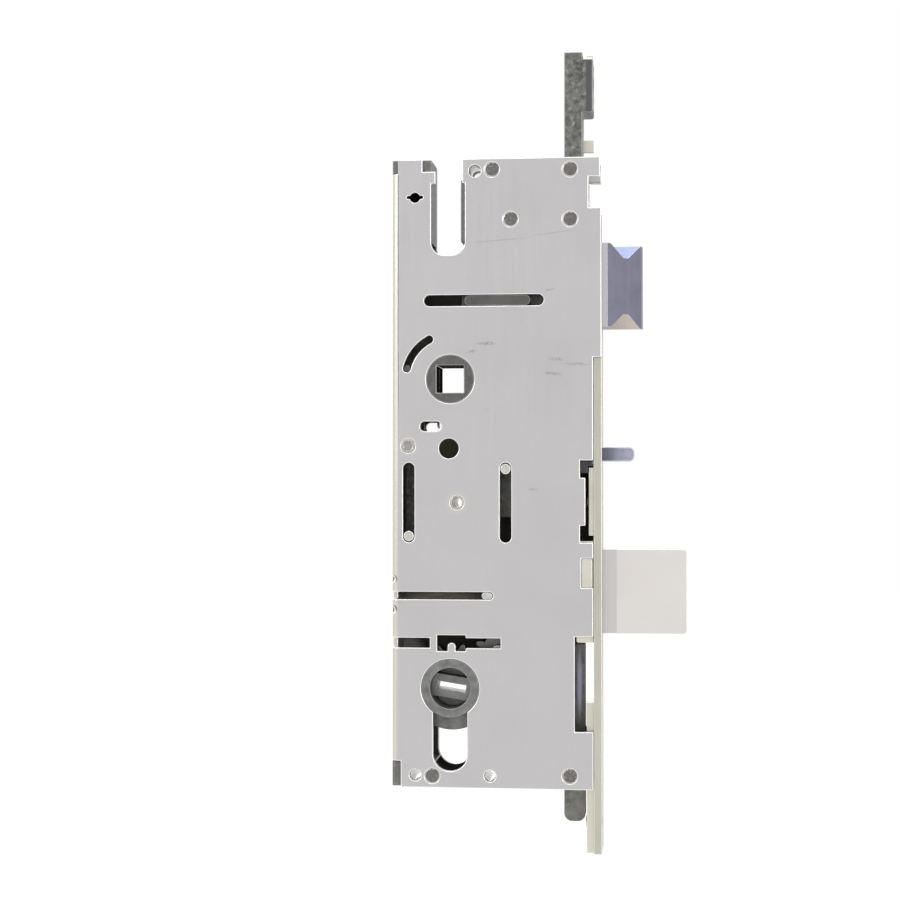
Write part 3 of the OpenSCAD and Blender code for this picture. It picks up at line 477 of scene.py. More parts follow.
HOUSING_BLACK = Finish("housing_moulded", (0.035, 0.035, 0.037), (0.05, 0.05, 0.05), 0.0, 0.45,
                       Grain.MOULDED, 0.2)


def is_wall(face: bmesh.types.BMFace) -> bool:
    """Tells whether a face stands along Y, as the walls of the holes through the case do."""
    return abs(face.normal.y) < WALL_LEAN


def looks_to(way: int) -> FaceTest:
    """Returns a test for the faces that look to +Y where way is 1, or to -Y where it is -1."""
    return lambda face: face.normal.y * way > 1 - WALL_LEAN


def shown(mesh: bmesh.types.BMesh, name: str, finishes: Sequence[Finish]) -> bpy.types.Object:
    """Puts a mesh into the scene as an object.

    Args:
        mesh: the finished bmesh, which is freed here.
        name: name of the piece.
        finishes: finishes of its material slots, in order.

    Returns:
        The new object.
    """
    data = bpy.data.meshes.new(name)
    bmesh.ops.recalc_face_normals(mesh, faces=mesh.faces)
    mesh.to_mesh(data)
    mesh.free()
    if "custom_normal" in data.attributes:
        data.attributes.remove(data.attributes["custom_normal"])
    for finish in finishes:
        data.materials.append(finish.material())
    piece = bpy.data.objects.new(name, data)
    bpy.context.scene.collection.objects.link(piece)
    return piece


def smooth(piece: bpy.types.Object, angle: float = SHARP_ANGLE) -> None:
    """Shades a piece smooth, with its sharp edges and the edges of its broad flat faces kept.

    Args:
        piece: the piece.
        angle: angle between two faces, in degrees, over which their edge is sharp.
    """
    data = piece.data
    data.polygons.foreach_set("use_smooth", [True] * len(data.polygons))
    data.set_sharp_from_angle(angle=math.radians(angle))
    edge_at = {key: index for index, key in enumerate(data.edge_keys)}
    for face in data.polygons:
        if face.area > BROAD_FACE:
            for key in face.edge_keys:
                data.edges[edge_at[key]].use_edge_sharp = True


def settle(piece: bpy.types.Object, body: str, slot: str, *nodes: str) -> bpy.types.Object:
    """Makes a piece ride and stand for its CAD nodes.

    Args:
        piece: the piece, in place.
        body: CAD body it rides on.
        slot: material slot of the record; not used.
        nodes: CAD nodes that it replaces.

    Returns:
        The same piece.
    """
    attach(piece, body)
    if nodes:
        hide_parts(*nodes)
    LOG.info("%s rides on %s, %d faces", piece.name, body, len(piece.data.polygons))
    return piece


@dataclass
class Softened:
    """A CAD node with its edges broken, as pressing, casting or plating leaves them.

    The edges are as wide as width, in mm, and take the edge finish, mostly a lighter copy of the faces'
    finish as a painted highlight. Each of the places is a test for faces and the finish that they take.
    """

    node: str
    body: str
    slot: str
    finish: Finish
    edge: Finish
    width: float = 0.14
    segments: int = 2
    places: tuple[tuple[FaceTest, Finish], ...] = ()

    def mesh(self) -> bmesh.types.BMesh:
        """Copies the node's mesh and joins the triangles of its flat faces.

        Returns:
            The cleaned mesh.
        """
        made = bmesh.new()
        made.from_mesh(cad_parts[self.node].data)
        bmesh.ops.remove_doubles(made, verts=made.verts, dist=WELD)
        bmesh.ops.dissolve_limit(made, angle_limit=math.radians(FLAT_ANGLE), use_dissolve_boundaries=False,
                                 verts=made.verts, edges=made.edges)
        for face in made.faces:
            face.material_index = 0
        return made

    def build(self) -> bpy.types.Object:
        """Makes the piece.

        Returns:
            The piece, riding and replacing its node.
        """
        made = self.mesh()
        finishes = [self.finish, self.edge]
        for holds, finish in self.places:
            for face in made.faces:
                if holds(face):
                    face.material_index = len(finishes)
            finishes.append(finish)
        piece = shown(made, f"{self.node}_dressed", finishes)
        smooth(piece)
        bevel = piece.modifiers.new("broken_edges", "BEVEL")
        bevel.width = self.width * MM
        bevel.segments = self.segments
        bevel.limit_method = "ANGLE"
        bevel.angle_limit = math.radians(BEVEL_ANGLE)
        bevel.use_clamp_overlap = False
        bevel.loop_slide = False
        bevel.harden_normals = True
        # The bevel's faces take the edge finish: a painted highlight, lighter than the faces.
        bevel.material = 1
        bevel.miter_outer = "MITER_SHARP"
        return settle(piece, self.body, self.slot, self.node)


def steady(value: float) -> Angular:
    """Returns a function that gives one value at every angle."""
    return lambda _angle: value


def turned(name: str, rings: Sequence[Ring], centre: Sequence[float], axis: Turning,
           finishes: Sequence[Finish], inner_rings: int = 0, around: int = 72,
           rim: int = -1) -> bpy.types.Object:
    """Makes a piece from rings about an axis, closed at both ends.

    Args:
        name: name of the piece.
        rings: for each ring, its height along the axis and its radius in mm, both by angle.
        centre: the two other coordinates of the axis, in mm.
        axis: axis of the rings.
        finishes: finishes of the material slots.
        inner_rings: how many bands at the start take the second finish.
        around: points on each ring.
        rim: one more band that takes the second finish.

    Returns:
        The new object.
    """
    made = bmesh.new()

    def point(along: float, first: float, second: float) -> Vector:
        """Places a point of a ring.

        Args:
            along: place along the axis, in mm.
            first: distance from the axis along the first other direction, in mm.
            second: distance from the axis along Z, in mm.

        Returns:
            The point, in metres.
        """
        if axis is Turning.ALONG_X:
            return Vector((along, centre[0] + first, centre[1] + second)) * MM
        return Vector((centre[0] + first, along, centre[1] + second)) * MM

    bands = []
    for height, radius in rings:
        band = []
        for step in range(around):
            angle = 2 * math.pi * step / around
            spot = point(height(angle), radius(angle) * math.cos(angle), radius(angle) * math.sin(angle))
            band.append(made.verts.new(spot))
        bands.append(band)
    for index, (one, two) in enumerate(zip(bands, bands[1:])):
        for step in range(around):
            after = (step + 1) % around
            face = made.faces.new((one[step], one[after], two[after], two[step]))
            face.material_index = 1 if index < inner_rings or index == rim else 0
    ends = ((bands[0], rings[0], inner_rings > 0), (bands[-1], rings[-1], False))
    for band, (height, _radius), inner in ends:
        middle = sum(height(2 * math.pi * step / around) for step in range(around)) / around
        hub = made.verts.new(point(middle, 0, 0))
        for step in range(around):
            face = made.faces.new((band[step], band[(step + 1) % around], hub))
            face.material_index = 1 if inner else 0
    piece = shown(made, name, finishes)
    smooth(piece, TURNED_ANGLE)
    return piece


def tube(name: str, path: Sequence[Vector], radius: float, finish: Finish,
         sides: int = 14) -> bpy.types.Object:
    """Sweeps a round wire along a path, with its ends closed.

    Args:
        name: name of the piece.
        path: points in mm.
        radius: of the wire, in mm.
        finish: its finish.
        sides: faces round the wire.

    Returns:
        The new object.
    """
    made = bmesh.new()
    across = OFF_WIRES
    turns = [2 * math.pi * side / sides for side in range(sides)]
    bands = []
    for index, spot in enumerate(path):
        heading = (path[min(index + 1, len(path) - 1)] - path[max(index - 1, 0)]).normalized()
        across = (across - heading * across.dot(heading)).normalized()
        other = heading.cross(across)
        spokes = [across * math.cos(turn) + other * math.sin(turn) for turn in turns]
        bands.append([made.verts.new((spot + spoke * radius) * MM) for spoke in spokes])
    for one, two in zip(bands, bands[1:]):
        for side in range(sides):
            after = (side + 1) % sides
            made.faces.new((one[side], one[after], two[after], two[side]))
    made.faces.new(bands[0])
    made.faces.new(bands[-1])
    piece = shown(made, name, (finish,))
    smooth(piece, WIRE_ANGLE)
    return piece


def joined(name: str, parts: Sequence[bpy.types.Object]) -> bpy.types.Object:
    """Joins the meshes of several objects that share their finishes.

    Args:
        name: name of the joined piece.
        parts: the objects, which are used up.

    Returns:
        The one object.
    """
    made = bmesh.new()
    for part in parts:
        made.from_mesh(part.data)
    finishes = list(parts[0].data.materials)
    data = bpy.data.meshes.new(name)
    made.to_mesh(data)
    made.free()
    for finish in finishes:
        data.materials.append(finish)
    piece = bpy.data.objects.new(name, data)
    bpy.context.scene.collection.objects.link(piece)
    for part in parts:
        bpy.data.objects.remove(part)
    smooth(piece, TURNED_ANGLE)
    return piece


@dataclass
class StarScrew:
    """A screw with a six-lobed recess, its head facing +X.

    The recess and the crown of a domed head are steps, each a drop under the face in mm and a share of the
    full radius.
    """

    name: str
    z: float
    face: float
    head_r: float
    head_h: float
    end: float
    countersunk: bool
    lobe_r: float = 1.9
    shank_r: float = 2.0
    lobe_wave: float = 0.14
    recess: tuple[tuple[float, float], ...] = ((1.6, 0.45), (1.35, 0.8), (0.16, 0.9), (0.03, 1.0))
    crown: tuple[tuple[float, float], ...] = (
        (0.0, 0.72), (0.024, 0.84), (0.08, 0.94), (0.168, 0.99), (0.32, 1.0))
    chamfer: float = 0.12
    rim_drop: float = 0.1
    edge_gap: float = 0.02
    pitch: float = 0.8
    crest_w: float = 0.15
    thread_h: float = 0.3
    tip_h: float = 0.25
    tip_step: float = 0.1
    tip_taper: float = 0.5

    def lobes(self, scale: float) -> Angular:
        """Returns the outline of the recess at a share of its full size."""
        wave = self.lobe_wave
        return lambda angle: scale * self.lobe_r * (1 - wave + wave * math.cos(6 * angle))

    def head(self) -> list[Ring]:
        """Lists the rings of the head outside its recess.

        Returns:
            The rings, from the face down.
        """
        under = self.face - self.head_h
        if self.countersunk:
            return [(steady(self.face - self.edge_gap), steady(self.head_r - self.chamfer)),
                    (steady(self.face - self.rim_drop), steady(self.head_r - self.edge_gap)),
                    (steady(under), steady(self.shank_r + self.edge_gap))]
        rings = [(steady(self.face - drop), steady(self.head_r * share)) for drop, share in self.crown]
        rings += [(steady(under + self.chamfer), steady(self.head_r)),
                  (steady(under), steady(self.head_r - self.chamfer)),
                  (steady(under), steady(self.shank_r))]
        return rings

    def shank(self) -> list[Ring]:
        """Lists the rings of the threaded shank.

        Returns:
            The rings, from the head to the tip.
        """
        along = self.face - self.head_h - self.crest_w
        crest, tip = steady(self.shank_r - self.edge_gap), steady(self.shank_r - self.tip_step)
        rings = []
        while along - self.pitch > self.end + self.tip_taper:
            rings += [(steady(along), crest), (steady(along - self.crest_w), crest),
                      (steady(along - self.pitch / 2), steady(self.shank_r - self.thread_h))]
            along -= self.pitch
        rings += [(steady(along), tip), (steady(self.end + self.tip_h), tip),
                  (steady(self.end), steady(self.shank_r - self.tip_taper))]
        return rings

    def build(self) -> bpy.types.Object:
        """Makes the screw.

        Returns:
            The screw, not yet settled.
        """
        recess = [(steady(self.face - drop), self.lobes(share)) for drop, share in self.recess]
        return turned(self.name, recess + self.head() + self.shank(), (0.0, self.z), Turning.ALONG_X,
                      (SCREW_ZINC, RECESS_DARK), len(recess) - 1, FINE_ROUND)


@dataclass
class StakedRivet:
    """A rivet whose near end was staked over with a punch, leaving dents and small nicks."""

    name: str
    x: float
    z: float
    radius: float
    near: float
    far: float
    seed: float
    shift: float = 0.14
    shift_angle: float = math.pi / 4
    nick: float = 0.5
    nick_w: float = 0.13
    nicks: tuple[float, float] = (1.4, 2.0)
    dents: int = 4
    dent: float = 0.09
    dent_at: float = 0.55
    dent_w: float = 0.19
    sunk: float = 0.04
    dome: float = 0.1
    shares: tuple[float, ...] = (0.06, 0.18, 0.3, 0.42, 0.5, 0.58, 0.66, 0.76, 0.84, 0.9)
    rim_h: float = 0.24
    play: float = 0.01
    foot_edge: float = 0.15
    foot_gap: float = 0.02

    def outline(self, radius: float) -> Angular:
        """Shapes the staked end: set over to one side, with two nicks at the top.

        Args:
            radius: radius of the ring before it is shaped, in mm.

        Returns:
            The ring's radius by angle.
        """
        share = radius / self.radius

        def reach(angle: float) -> float:
            """Returns the radius at an angle."""
            nick = self.nick * sum(math.exp(-((angle - place) / self.nick_w) ** 2) for place in self.nicks)
            return radius + share * (self.shift * math.cos(angle - self.shift_angle) - nick * share ** 6)
        return reach

    def surface(self, radius: float) -> Ring:
        """Makes a ring of the staked end, dented by the punch.

        Args:
            radius: radius of the ring, in mm.

        Returns:
            The ring.
        """
        def height(angle: float) -> float:
            """Finds the place of the ring along Y.

            Args:
                angle: angle round the rivet.

            Returns:
                The place, in mm.
            """
            here = Vector((radius * math.cos(angle), radius * math.sin(angle)))
            dent = 0.0
            for turn in range(self.dents):
                place = self.seed + turn * 2 * math.pi / self.dents
                spot = Vector((math.cos(place), math.sin(place))) * self.radius * self.dent_at
                dent += self.dent * math.exp(-((here - spot).length / (self.dent_w * self.radius)) ** 2)
            return self.near + self.sunk + self.dome * (radius / self.radius) ** 2 + dent
        return height, self.outline(radius)

    def build(self) -> bpy.types.Object:
        """Makes the rivet.

        Returns:
            The rivet, not yet settled.
        """
        rings = [self.surface(self.radius * share) for share in self.shares]
        rings += [(steady(self.near + self.rim_h), steady(self.radius - self.play)),
                  (steady(self.far - self.foot_edge), steady(self.radius - self.play)),
                  (steady(self.far - self.foot_gap), steady(self.radius - self.foot_edge))]
        # The band round the staked head's rim takes the bright pin finish: a painted highlight.
        return turned(self.name, rings, (self.x, self.z), Turning.ALONG_Y, (RIVET_GREY, PIN_BRIGHT), 0,
                      FINE_ROUND, len(self.shares) - 1)


@dataclass
class CaseShell:
    """Cover, back plate, spacers, posts and rivets."""

    half_w: float = 8.5
    rivet_r: float = 2.2
    rivets: tuple[tuple[float, float, float], ...] = (
        (12.5, 62.35, 8.5), (18.0, 47.45, 3.0), (35.7, 62.05, -6.0), (35.7, 47.25, -6.0),
        (-5.4, -118.0, 8.5), (35.5, -117.5, 0.4))
    fixing_holes: tuple[tuple[float, float], ...] = ((7.4, 62.0), (-10.4, -117.8), (11.9, -117.8))
    hole_reach: float = 2.0
    leg_reach: float = 6.5
    leg_z: tuple[float, float] = (-117.2, -95.0)
    first_seed: float = 0.4
    plate_edge: float = 0.28
    spacer_edge: float = 0.2
    rail_edge: float = 0.06
    post_edge: float = 0.18

    def in_fixing_hole(self, face: bmesh.types.BMFace) -> bool:
        """Tells whether a face is a wall of one of the fixing screws' holes.

        Args:
            face: face of a spacer.

        Returns:
            True where it is such a wall.
        """
        spot = face.calc_center_median() / MM
        near = min(math.hypot(spot.x - x, spot.z - z) for x, z in self.fixing_holes)
        return near < self.hole_reach and is_wall(face)

    def in_cylinder_leg(self, face: bmesh.types.BMFace) -> bool:
        """Tells whether a face is a wall of the cylinder hole's leg.

        Args:
            face: face of a spacer.

        Returns:
            True where it is such a wall.
        """
        spot = face.calc_center_median() / MM
        near = abs(spot.x) < self.leg_reach and self.leg_z[0] < spot.z < self.leg_z[1]
        return near and is_wall(face)

    def rivet_set(self) -> None:
        """Makes the six staked rivets as one piece."""
        parts = [StakedRivet(f"case_rivet_{index}", x, z, self.rivet_r, -self.half_w, far,
                             self.first_seed + index).build()
                 for index, (x, z, far) in enumerate(self.rivets)]
        settle(joined("case_rivets_staked", parts), "case", "rivet_grey", "case_rivets")

    def build(self) -> None:
        """Makes the shell's pieces."""
        # The faces that look into the case take a near-black finish: painted shade inside the case.
        for node, finish, way in (("cover_plate", COVER_ZINC, 1), ("back_plate", PLATE_ZINC, -1)):
            Softened(node, "case", "case_zinc", finish, PALE_HIGHLIGHT, self.plate_edge,
                     places=((looks_to(way), INNER_SHADE),)).build()
        for node in ("top_rear_spacer", "top_front_spacer", "bottom_spacer", "front_foot_spacer",
                     "latch_spring_bracket"):
            # Fixing-hole walls: pale painted highlight; cylinder-leg walls: near-black painted shade.
            holes = ((self.in_fixing_hole, PALE_HIGHLIGHT), (self.in_cylinder_leg, HOLE_WALL_SHADE))
            Softened(node, "case", "spacer_grey", SPACER_SINTER, PHOSPHATE_EDGE, self.spacer_edge,
                     places=holes).build()
        Softened("slide_guide_rail", "case", "spacer_grey", SPACER_SINTER, PHOSPHATE_EDGE,
                 self.rail_edge).build()
        for node in ("pinion_post", "idler_post", "spring_post"):
            Softened(node, "case", "guide_bright", POST_STEEL, PIN_BRIGHT, self.post_edge).build()
        self.rivet_set()


@dataclass
class FacePlate:
    """Faceplate, the strip and plate behind it, its bolt guide and its two screws."""

    back: float = 42.6
    front: float = 45.0
    anchor: float = 1.5
    strip: float = 2.2
    head_r: float = 4.1
    lobe_r: float = 2.0
    shank_r: float = 2.08
    upper_z: float = -36.5
    upper_head: float = 1.5
    upper_tail: float = 5.0
    lower_z: float = -132.0
    lower_head: float = 2.0
    lower_tail: float = 0.4
    face_edge: float = 0.2
    strip_edge: float = 0.15

    def build(self) -> None:
        """Makes the faceplate's pieces."""
        Softened("faceplate", "case", "face_steel", FACE_SATIN, FACE_EDGE, self.face_edge, 3).build()
        for node, slot in (("backing_strip", "strip_steel"), ("screw_anchor_plate", "strip_steel"),
                           ("deadbolt_guide", "guide_bright")):
            Softened(node, "case", slot, STRIP_BRIGHT, PALE_HIGHLIGHT, self.strip_edge).build()
        screws = [
            StarScrew("faceplate_screw_upper", self.upper_z, self.back + self.upper_head, self.head_r,
                      self.upper_head, self.back - self.anchor - self.upper_tail, False, self.lobe_r,
                      self.shank_r).build(),
            StarScrew("faceplate_screw_lower", self.lower_z, self.front, self.head_r, self.lower_head,
                      self.back - self.strip - self.lower_tail, True, self.lobe_r, self.shank_r).build()]
        settle(joined("faceplate_screws_lobed", screws), "case", "screw_zinc", "faceplate_screws")


@dataclass(frozen=True)
class PushSpring:
    """A compression spring along X, wound unpressed, with its travel towards its inner end. Sizes are in mm.
    """

    span: tuple[float, float]
    z: float
    radius: float
    wire: float
    turns: float
    travel: float
    steps: int = 24

    def wind(self, name: str) -> bpy.types.Object:
        """Winds the spring as one open helix.

        Args:
            name: name of the piece.

        Returns:
            The new object.
        """
        low, high = self.span
        count = int(self.turns * self.steps)
        path = []
        for step in range(count + 1):
            share = step / count
            turn = 2 * math.pi * self.turns * share
            place = low + (high - low) * share
            path.append(Vector((place, self.radius * math.cos(turn), self.z + self.radius * math.sin(turn))))
        return tube(name, path, self.wire, SPRING_WIRE)

    def anchor(self) -> Point:
        """Returns the middle of its inner end, in metres."""
        return self.span[0] * MM, 0, self.z * MM

    def keep(self) -> float:
        """Returns the share of its length that is left when it is pressed together."""
        length = self.span[1] - self.span[0]
        return (length - self.travel) / length


@dataclass
class Latch:
    """Grooved latch head, its tail and its spring."""

    spring: PushSpring = PushSpring((22.5, 41.5), 33.5, 2.3, 0.4, 8.0, 12.0)
    head_edge: float = 0.12
    tail_edge: float = 0.15

    def build(self) -> None:
        """Makes the latch's pieces."""
        Softened("latch_head", "latch", "latch_nickel", LATCH_BLUE, LATCH_EDGE, self.head_edge).build()
        Softened("latch_tail", "latch", "gear_steel", TAIL_SHADE, PHOSPHATE_EDGE, self.tail_edge).build()
        coil = self.spring.wind("latch_spring_wound")
        settle(coil, "case", "spring_wire", "latch_spring")
        self.spring.anchor()
        self.spring.keep()
        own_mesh(coil)


@dataclass
class Deadbolt:
    """Flat bolt, its lug, the idler and the key's cam gear."""

    edge: float = 0.12
    lug_edge: float = 0.15
    tooth_edge: float = 0.08
    cam_edge: float = 0.14

    def build(self) -> None:
        """Makes the deadbolt's pieces."""
        Softened("deadbolt", "deadbolt", "bolt_satin", BOLT_SATIN, PALE_HIGHLIGHT, self.edge).build()
        Softened("deadbolt_guide_lug", "deadbolt", "guide_bright", PIN_BRIGHT, PALE_HIGHLIGHT,
                 self.lug_edge).build()
        Softened("idler_pinion", "idler", "gear_steel", GEAR_STEEL, PHOSPHATE_EDGE, self.tooth_edge).build()
        for node in ("cam_gear", "cylinder_cam"):
            Softened(node, "cam", "cam_cast", CAM_CAST, CAM_EDGE, self.cam_edge).build()


@dataclass
class Trigger:
    """Sprung trigger in its housing."""

    spring: PushSpring = PushSpring((20.775, 39.0), -22.4, 1.5, 0.3, 8.0, 9.5)
    edge: float = 0.25
    housing_edge: float = 0.2

    def build(self) -> None:
        """Makes the trigger's pieces."""
        Softened("trigger", "trigger", "latch_nickel", TRIGGER_BLUE, LATCH_EDGE, self.edge, 3).build()
        Softened("trigger_housing", "case", "housing_black", HOUSING_BLACK, HOUSING_BLACK,
                 self.housing_edge).build()
        coil = self.spring.wind("trigger_spring_wound")
        settle(coil, "case", "spring_wire", "trigger_spring")
        self.spring.anchor()
        self.spring.keep()
        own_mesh(coil)


@dataclass
class Slides:
    """Upper and lower drive slides, their pins, their screws and the pinion between them."""

    boss_x: float = 42.4
    head_z: float = 97.4
    screw_drop: tuple[float, float] = (3.8, 13.5)
    screw_end: float = 34.4
    screw_head: tuple[float, float] = (3.7, 2.2)
    screw_lobe_r: float = 1.8
    screw_shank_r: float = 2.0
    slide_edge: float = 0.25
    clip_edge: float = 0.15
    tooth_edge: float = 0.08

    def build(self) -> None:
        """Makes the slides' pieces."""
        for body, finish in (("upper_slide", PHOSPHATE), ("lower_slide", LEG_PHOSPHATE)):
            Softened(body, body, "slide_phosphate", finish, PHOSPHATE_EDGE, self.slide_edge, 3).build()
        for node, body in (("upper_guide_pin", "upper_slide"), ("lower_guide_pin", "lower_slide")):
            Softened(node, body, "guide_bright", PIN_BRIGHT, PALE_HIGHLIGHT, self.slide_edge).build()
        Softened("reversing_pinion", "reversing_pinion", "gear_steel", GEAR_STEEL, PHOSPHATE_EDGE,
                 self.tooth_edge).build()
        Softened("slide_clip_spring", "upper_slide", "strip_steel", STRIP_BRIGHT, PALE_HIGHLIGHT,
                 self.clip_edge).build()
        screws = [StarScrew(f"slide_screw_{index}", self.head_z - drop, self.boss_x, *self.screw_head,
                            self.screw_end, False, self.screw_lobe_r, self.screw_shank_r).build()
                  for index, drop in enumerate(self.screw_drop)]
        settle(joined("slide_screws_lobed", screws), "upper_slide", "screw_zinc", "slide_screws")


@dataclass(frozen=True)
class TorsionSpring:
    """A torsion spring about the spindle, with a leg at each end.

    The legs are points in mm. The coil goes from the first to the second Y of its span, at a radius in mm,
    from an angle in degrees, and way is 1 or -1 for its direction.
    """

    name: str
    node: str
    first_leg: tuple[Point, ...]
    last_leg: tuple[Point, ...]
    span: tuple[float, float]
    radius: float
    start: float
    turns: float
    way: int
    wire: float = 0.4
    step_angle: int = 10

    def coil(self) -> list[Vector]:
        """Lists the points of the coil.

        Returns:
            The points.
        """
        low, high = self.span
        steps = int(self.turns * 360 / self.step_angle)
        out = []
        for step in range(steps + 1):
            angle = math.radians(self.start + self.way * step * self.step_angle)
            place = low + (high - low) * step / steps
            out.append(Vector((self.radius * math.cos(angle), place, self.radius * math.sin(angle))))
        return out

    def build(self) -> None:
        """Makes the spring."""
        first, last = ([Vector(spot) for spot in leg] for leg in (self.first_leg, self.last_leg))
        wound = tube(self.name, first + self.coil() + last, self.wire, SPRING_WIRE)
        settle(wound, "case", "spring_wire", self.node)


@dataclass
class Followers:
    """The two followers on the spindle, with their pins and torsion springs."""

    square_reach: float = 4.3
    edge: float = 0.18
    pin_edge: float = 0.15
    springs: tuple[TorsionSpring, ...] = (
        TorsionSpring("lift_spring_wound", "lift_follower_spring",
                      ((-5.2, 7.9, -14.1), (-5.2, 6.2, -13.4), (-5.2, 6.2, -11.0)),
                      ((-7.5, 3.8, 4.5), (-8.6, 3.8, 7.3)),
                      (6.2, 3.8), 7.95, 222.0, 1.25, -1),
        TorsionSpring("down_spring_wound", "latch_follower_spring",
                      ((-10.0, -6.3, -20.4), (-9.2, -6.3, -12.0)),
                      ((7.2, -3.8, 6.5), (6.5, -3.8, 11.0), (6.5, -2.0, 11.6)),
                      (-6.3, -3.8), 8.05, 200.0, 1.5, 1),
    )

    def in_square(self, face: bmesh.types.BMFace) -> bool:
        """Tells whether a face is a wall of the square hole.

        Args:
            face: face of a follower.

        Returns:
            True where it is such a wall.
        """
        spot = face.calc_center_median() / MM
        return max(abs(spot.x), abs(spot.z)) < self.square_reach and is_wall(face)

    def build(self) -> None:
        """Makes the followers' pieces."""
        # The walls of the square hole are painted near black: painted shade.
        for node in ("lift_follower", "latch_follower"):
            Softened(node, node, "follower_cast", FOLLOWER_CAST, CAM_EDGE, self.edge,
                     places=((self.in_square, HOLE_WALL_SHADE),)).build()
        for node, finish, rim in (("follower_stop_pin", TAIL_SHADE, GEAR_STEEL),
                                  ("lift_drive_pin", GEAR_STEEL, CAM_EDGE)):
            Softened(node, "lift_follower", "guide_bright", finish, rim, self.pin_edge).build()
        for spring in self.springs:
            spring.build()


def any_ray(tree: bpy.types.NodeTree, *kinds: str) -> bpy.types.NodeSocket:
    """Adds nodes that give 1 for a ray of any of the named kinds, and 0 for the others.

    Args:
        tree: node tree to add them to.
        kinds: names of outputs of Light Path.

    Returns:
        The result's socket.
    """
    rays = tree.nodes.new("ShaderNodeLightPath")
    found = rays.outputs[kinds[0]]
    for kind in kinds[1:]:
        either = tree.nodes.new("ShaderNodeMath")
        either.operation = "MAXIMUM"
        tree.links.new(found, either.inputs[0])
        tree.links.new(rays.outputs[kind], either.inputs[1])
        found = either.outputs[0]
    return found


def blended(tree: bpy.types.NodeTree, amount: bpy.types.NodeSocket, first: bpy.types.NodeSocket,
            second: bpy.types.NodeSocket) -> bpy.types.NodeSocket:
    """Adds a blend of two shaders.

    Args:
        tree: node tree to add it to.
        amount: socket that gives how much of the second shows.
        first: socket of the first shader.
        second: socket of the second shader.

    Returns:
        The blend's socket.
    """
    made = tree.nodes.new("ShaderNodeMixShader")
    for place, source in enumerate((amount, first, second)):
        tree.links.new(source, made.inputs[place])
    return made.outputs[0]


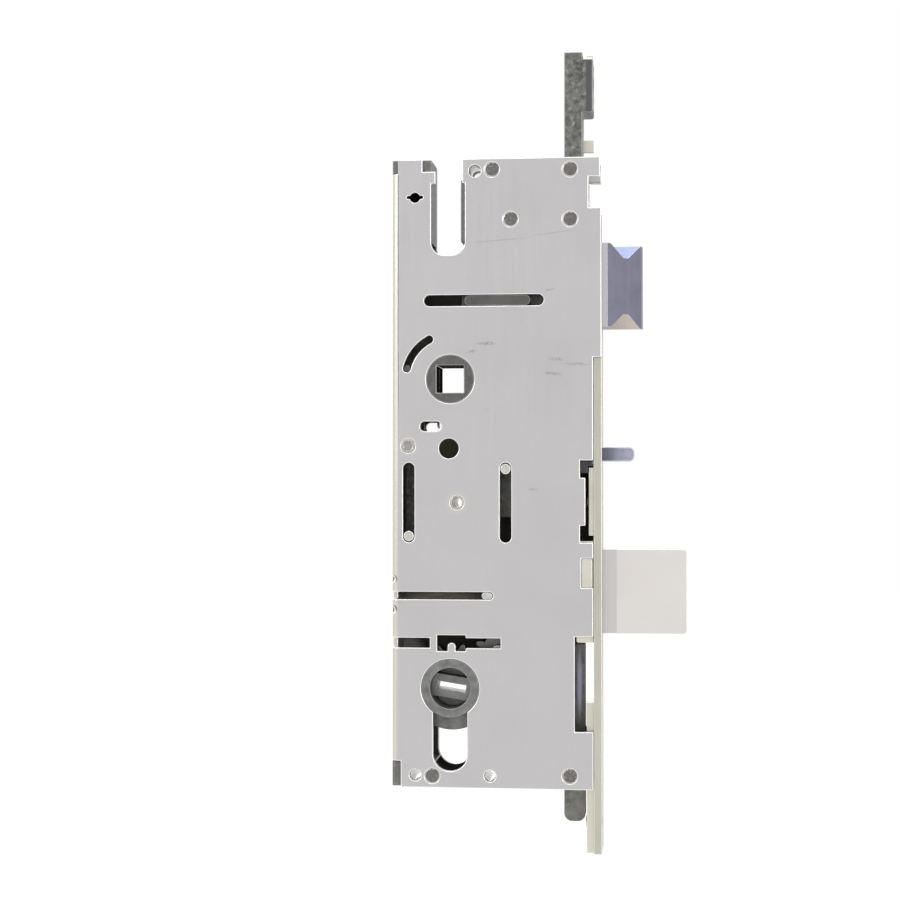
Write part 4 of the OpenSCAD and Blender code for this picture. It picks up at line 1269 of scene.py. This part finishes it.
@dataclass
class Studio:
    """Camera, soft lamps, white surround and floor.

    Each lamp has its name, its place in metres, its size in metres and its power in watts.
    """

    eye: Point = (0.062, -0.575, -0.030)
    yaw: float = -0.109030
    pitch: float = 0.015528
    focal_px: float = 1914.77
    image_px: float = 900.0
    sensor: float = 36.0
    clip: tuple[float, float] = (0.01, 20.0)
    floor_z: float = -0.158
    floor_r: float = 1.6
    floor_grey: float = 0.82
    floor_roughness: float = 0.8
    floor_glow: float = 1.1
    fill: Colour = (1.0, 0.99, 0.975)
    fill_strength: float = 0.55
    aim: Point = (0.02, 0.0, -0.02)
    lamps: tuple[tuple[str, Point, float, float], ...] = (
        ("key_left", (-0.75, -0.55, 0.35), 0.5, 3.2),
        ("fill_right", (0.8, -0.45, 0.1), 0.6, 3.0),
        ("top_soft", (0.0, -0.1, 0.9), 0.7, 4.0),
        ("back_soft", (-0.3, 0.85, 0.3), 0.7, 2.4),
    )

    def camera(self) -> None:
        """Makes the camera at the photograph's viewing angle."""
        data = bpy.data.cameras.new("product_camera")
        data.sensor_width = self.sensor
        data.lens = self.focal_px / self.image_px * self.sensor
        data.clip_start, data.clip_end = self.clip
        camera = bpy.data.objects.new("product_camera", data)
        camera.location = self.eye
        level = math.cos(self.pitch)
        forward = Vector((math.sin(self.yaw) * level, math.cos(self.yaw) * level, math.sin(self.pitch)))
        camera.rotation_mode = "QUATERNION"
        camera.rotation_quaternion = forward.to_track_quat("-Z", "Y")
        bpy.context.scene.collection.objects.link(camera)
        bpy.context.scene.camera = camera

    def lamp(self, name: str, place: Point, size: float, watts: float) -> None:
        """Adds a soft square lamp that looks at the middle of the lock.

        Args:
            name: name of the lamp.
            place: its place, in metres.
            size: its side, in metres.
            watts: its power.
        """
        data = bpy.data.lights.new(name, "AREA")
        data.size = size
        data.energy = watts
        lamp = bpy.data.objects.new(name, data)
        lamp.location = place
        lamp.rotation_mode = "QUATERNION"
        lamp.rotation_quaternion = (Vector(self.aim) - Vector(place)).to_track_quat("-Z", "Y")
        bpy.context.scene.collection.objects.link(lamp)

    def surround(self) -> None:
        """Makes the world: white where it is seen or mirrored, and softer as a light."""
        world = bpy.data.worlds.new("white_surround")
        bpy.context.scene.world = world
        world.use_nodes = True
        tree = world.node_tree
        seen = tree.nodes["Background"]
        seen.inputs["Color"].default_value = (1.0, 1.0, 1.0, 1.0)
        fill = tree.nodes.new("ShaderNodeBackground")
        fill.inputs["Color"].default_value = (*self.fill, 1.0)
        fill.inputs["Strength"].default_value = self.fill_strength
        direct = any_ray(tree, "Is Camera Ray", "Is Glossy Ray", "Is Transmission Ray")
        blend = blended(tree, direct, fill.outputs[0], seen.outputs[0])
        tree.links.new(blend, tree.nodes["World Output"].inputs["Surface"])

    def floor_white(self) -> bpy.types.Material:
        """Makes the floor's material, which is seen and mirrored as plain white.

        Returns:
            The material.
        """
        material = bpy.data.materials.new("floor_white")
        material.use_nodes = True
        tree = material.node_tree
        shader = tree.nodes["Principled BSDF"]
        shader.inputs["Base Color"].default_value = (*[self.floor_grey] * 3, 1.0)
        shader.inputs["Roughness"].default_value = self.floor_roughness
        glow = tree.nodes.new("ShaderNodeEmission")
        glow.inputs["Strength"].default_value = self.floor_glow
        direct = any_ray(tree, "Is Camera Ray", "Is Glossy Ray")
        blend = blended(tree, direct, shader.outputs[0], glow.outputs[0])
        tree.links.new(blend, tree.nodes["Material Output"].inputs["Surface"])
        return material

    def floor(self) -> None:
        """Makes the round pale floor."""
        made = bmesh.new()
        bmesh.ops.create_circle(made, cap_ends=True, segments=FINE_ROUND, radius=self.floor_r)
        for vert in made.verts:
            vert.co.z = self.floor_z
        data = bpy.data.meshes.new("floor")
        made.to_mesh(data)
        made.free()
        floor = bpy.data.objects.new("floor", data)
        bpy.context.scene.collection.objects.link(floor)
        data.materials.append(self.floor_white())

    def build(self) -> None:
        """Sets up the whole studio."""
        bpy.context.scene.view_settings.view_transform = "Standard"
        self.camera()
        self.surround()
        self.floor()
        for name, place, size, watts in self.lamps:
            self.lamp(name, place, size, watts)


def main() -> None:
    """Builds the studio and every sub-assembly, in order."""
    logging.basicConfig(level=logging.INFO, format="%(name)s: %(message)s")
    for part in (Studio(), CaseShell(), FacePlate(), Latch(), Deadbolt(), Trigger(), Slides(), Followers()):
        part.build()
        LOG.info("%s is built", type(part).__name__)


if __name__ == "__main__":
    main()
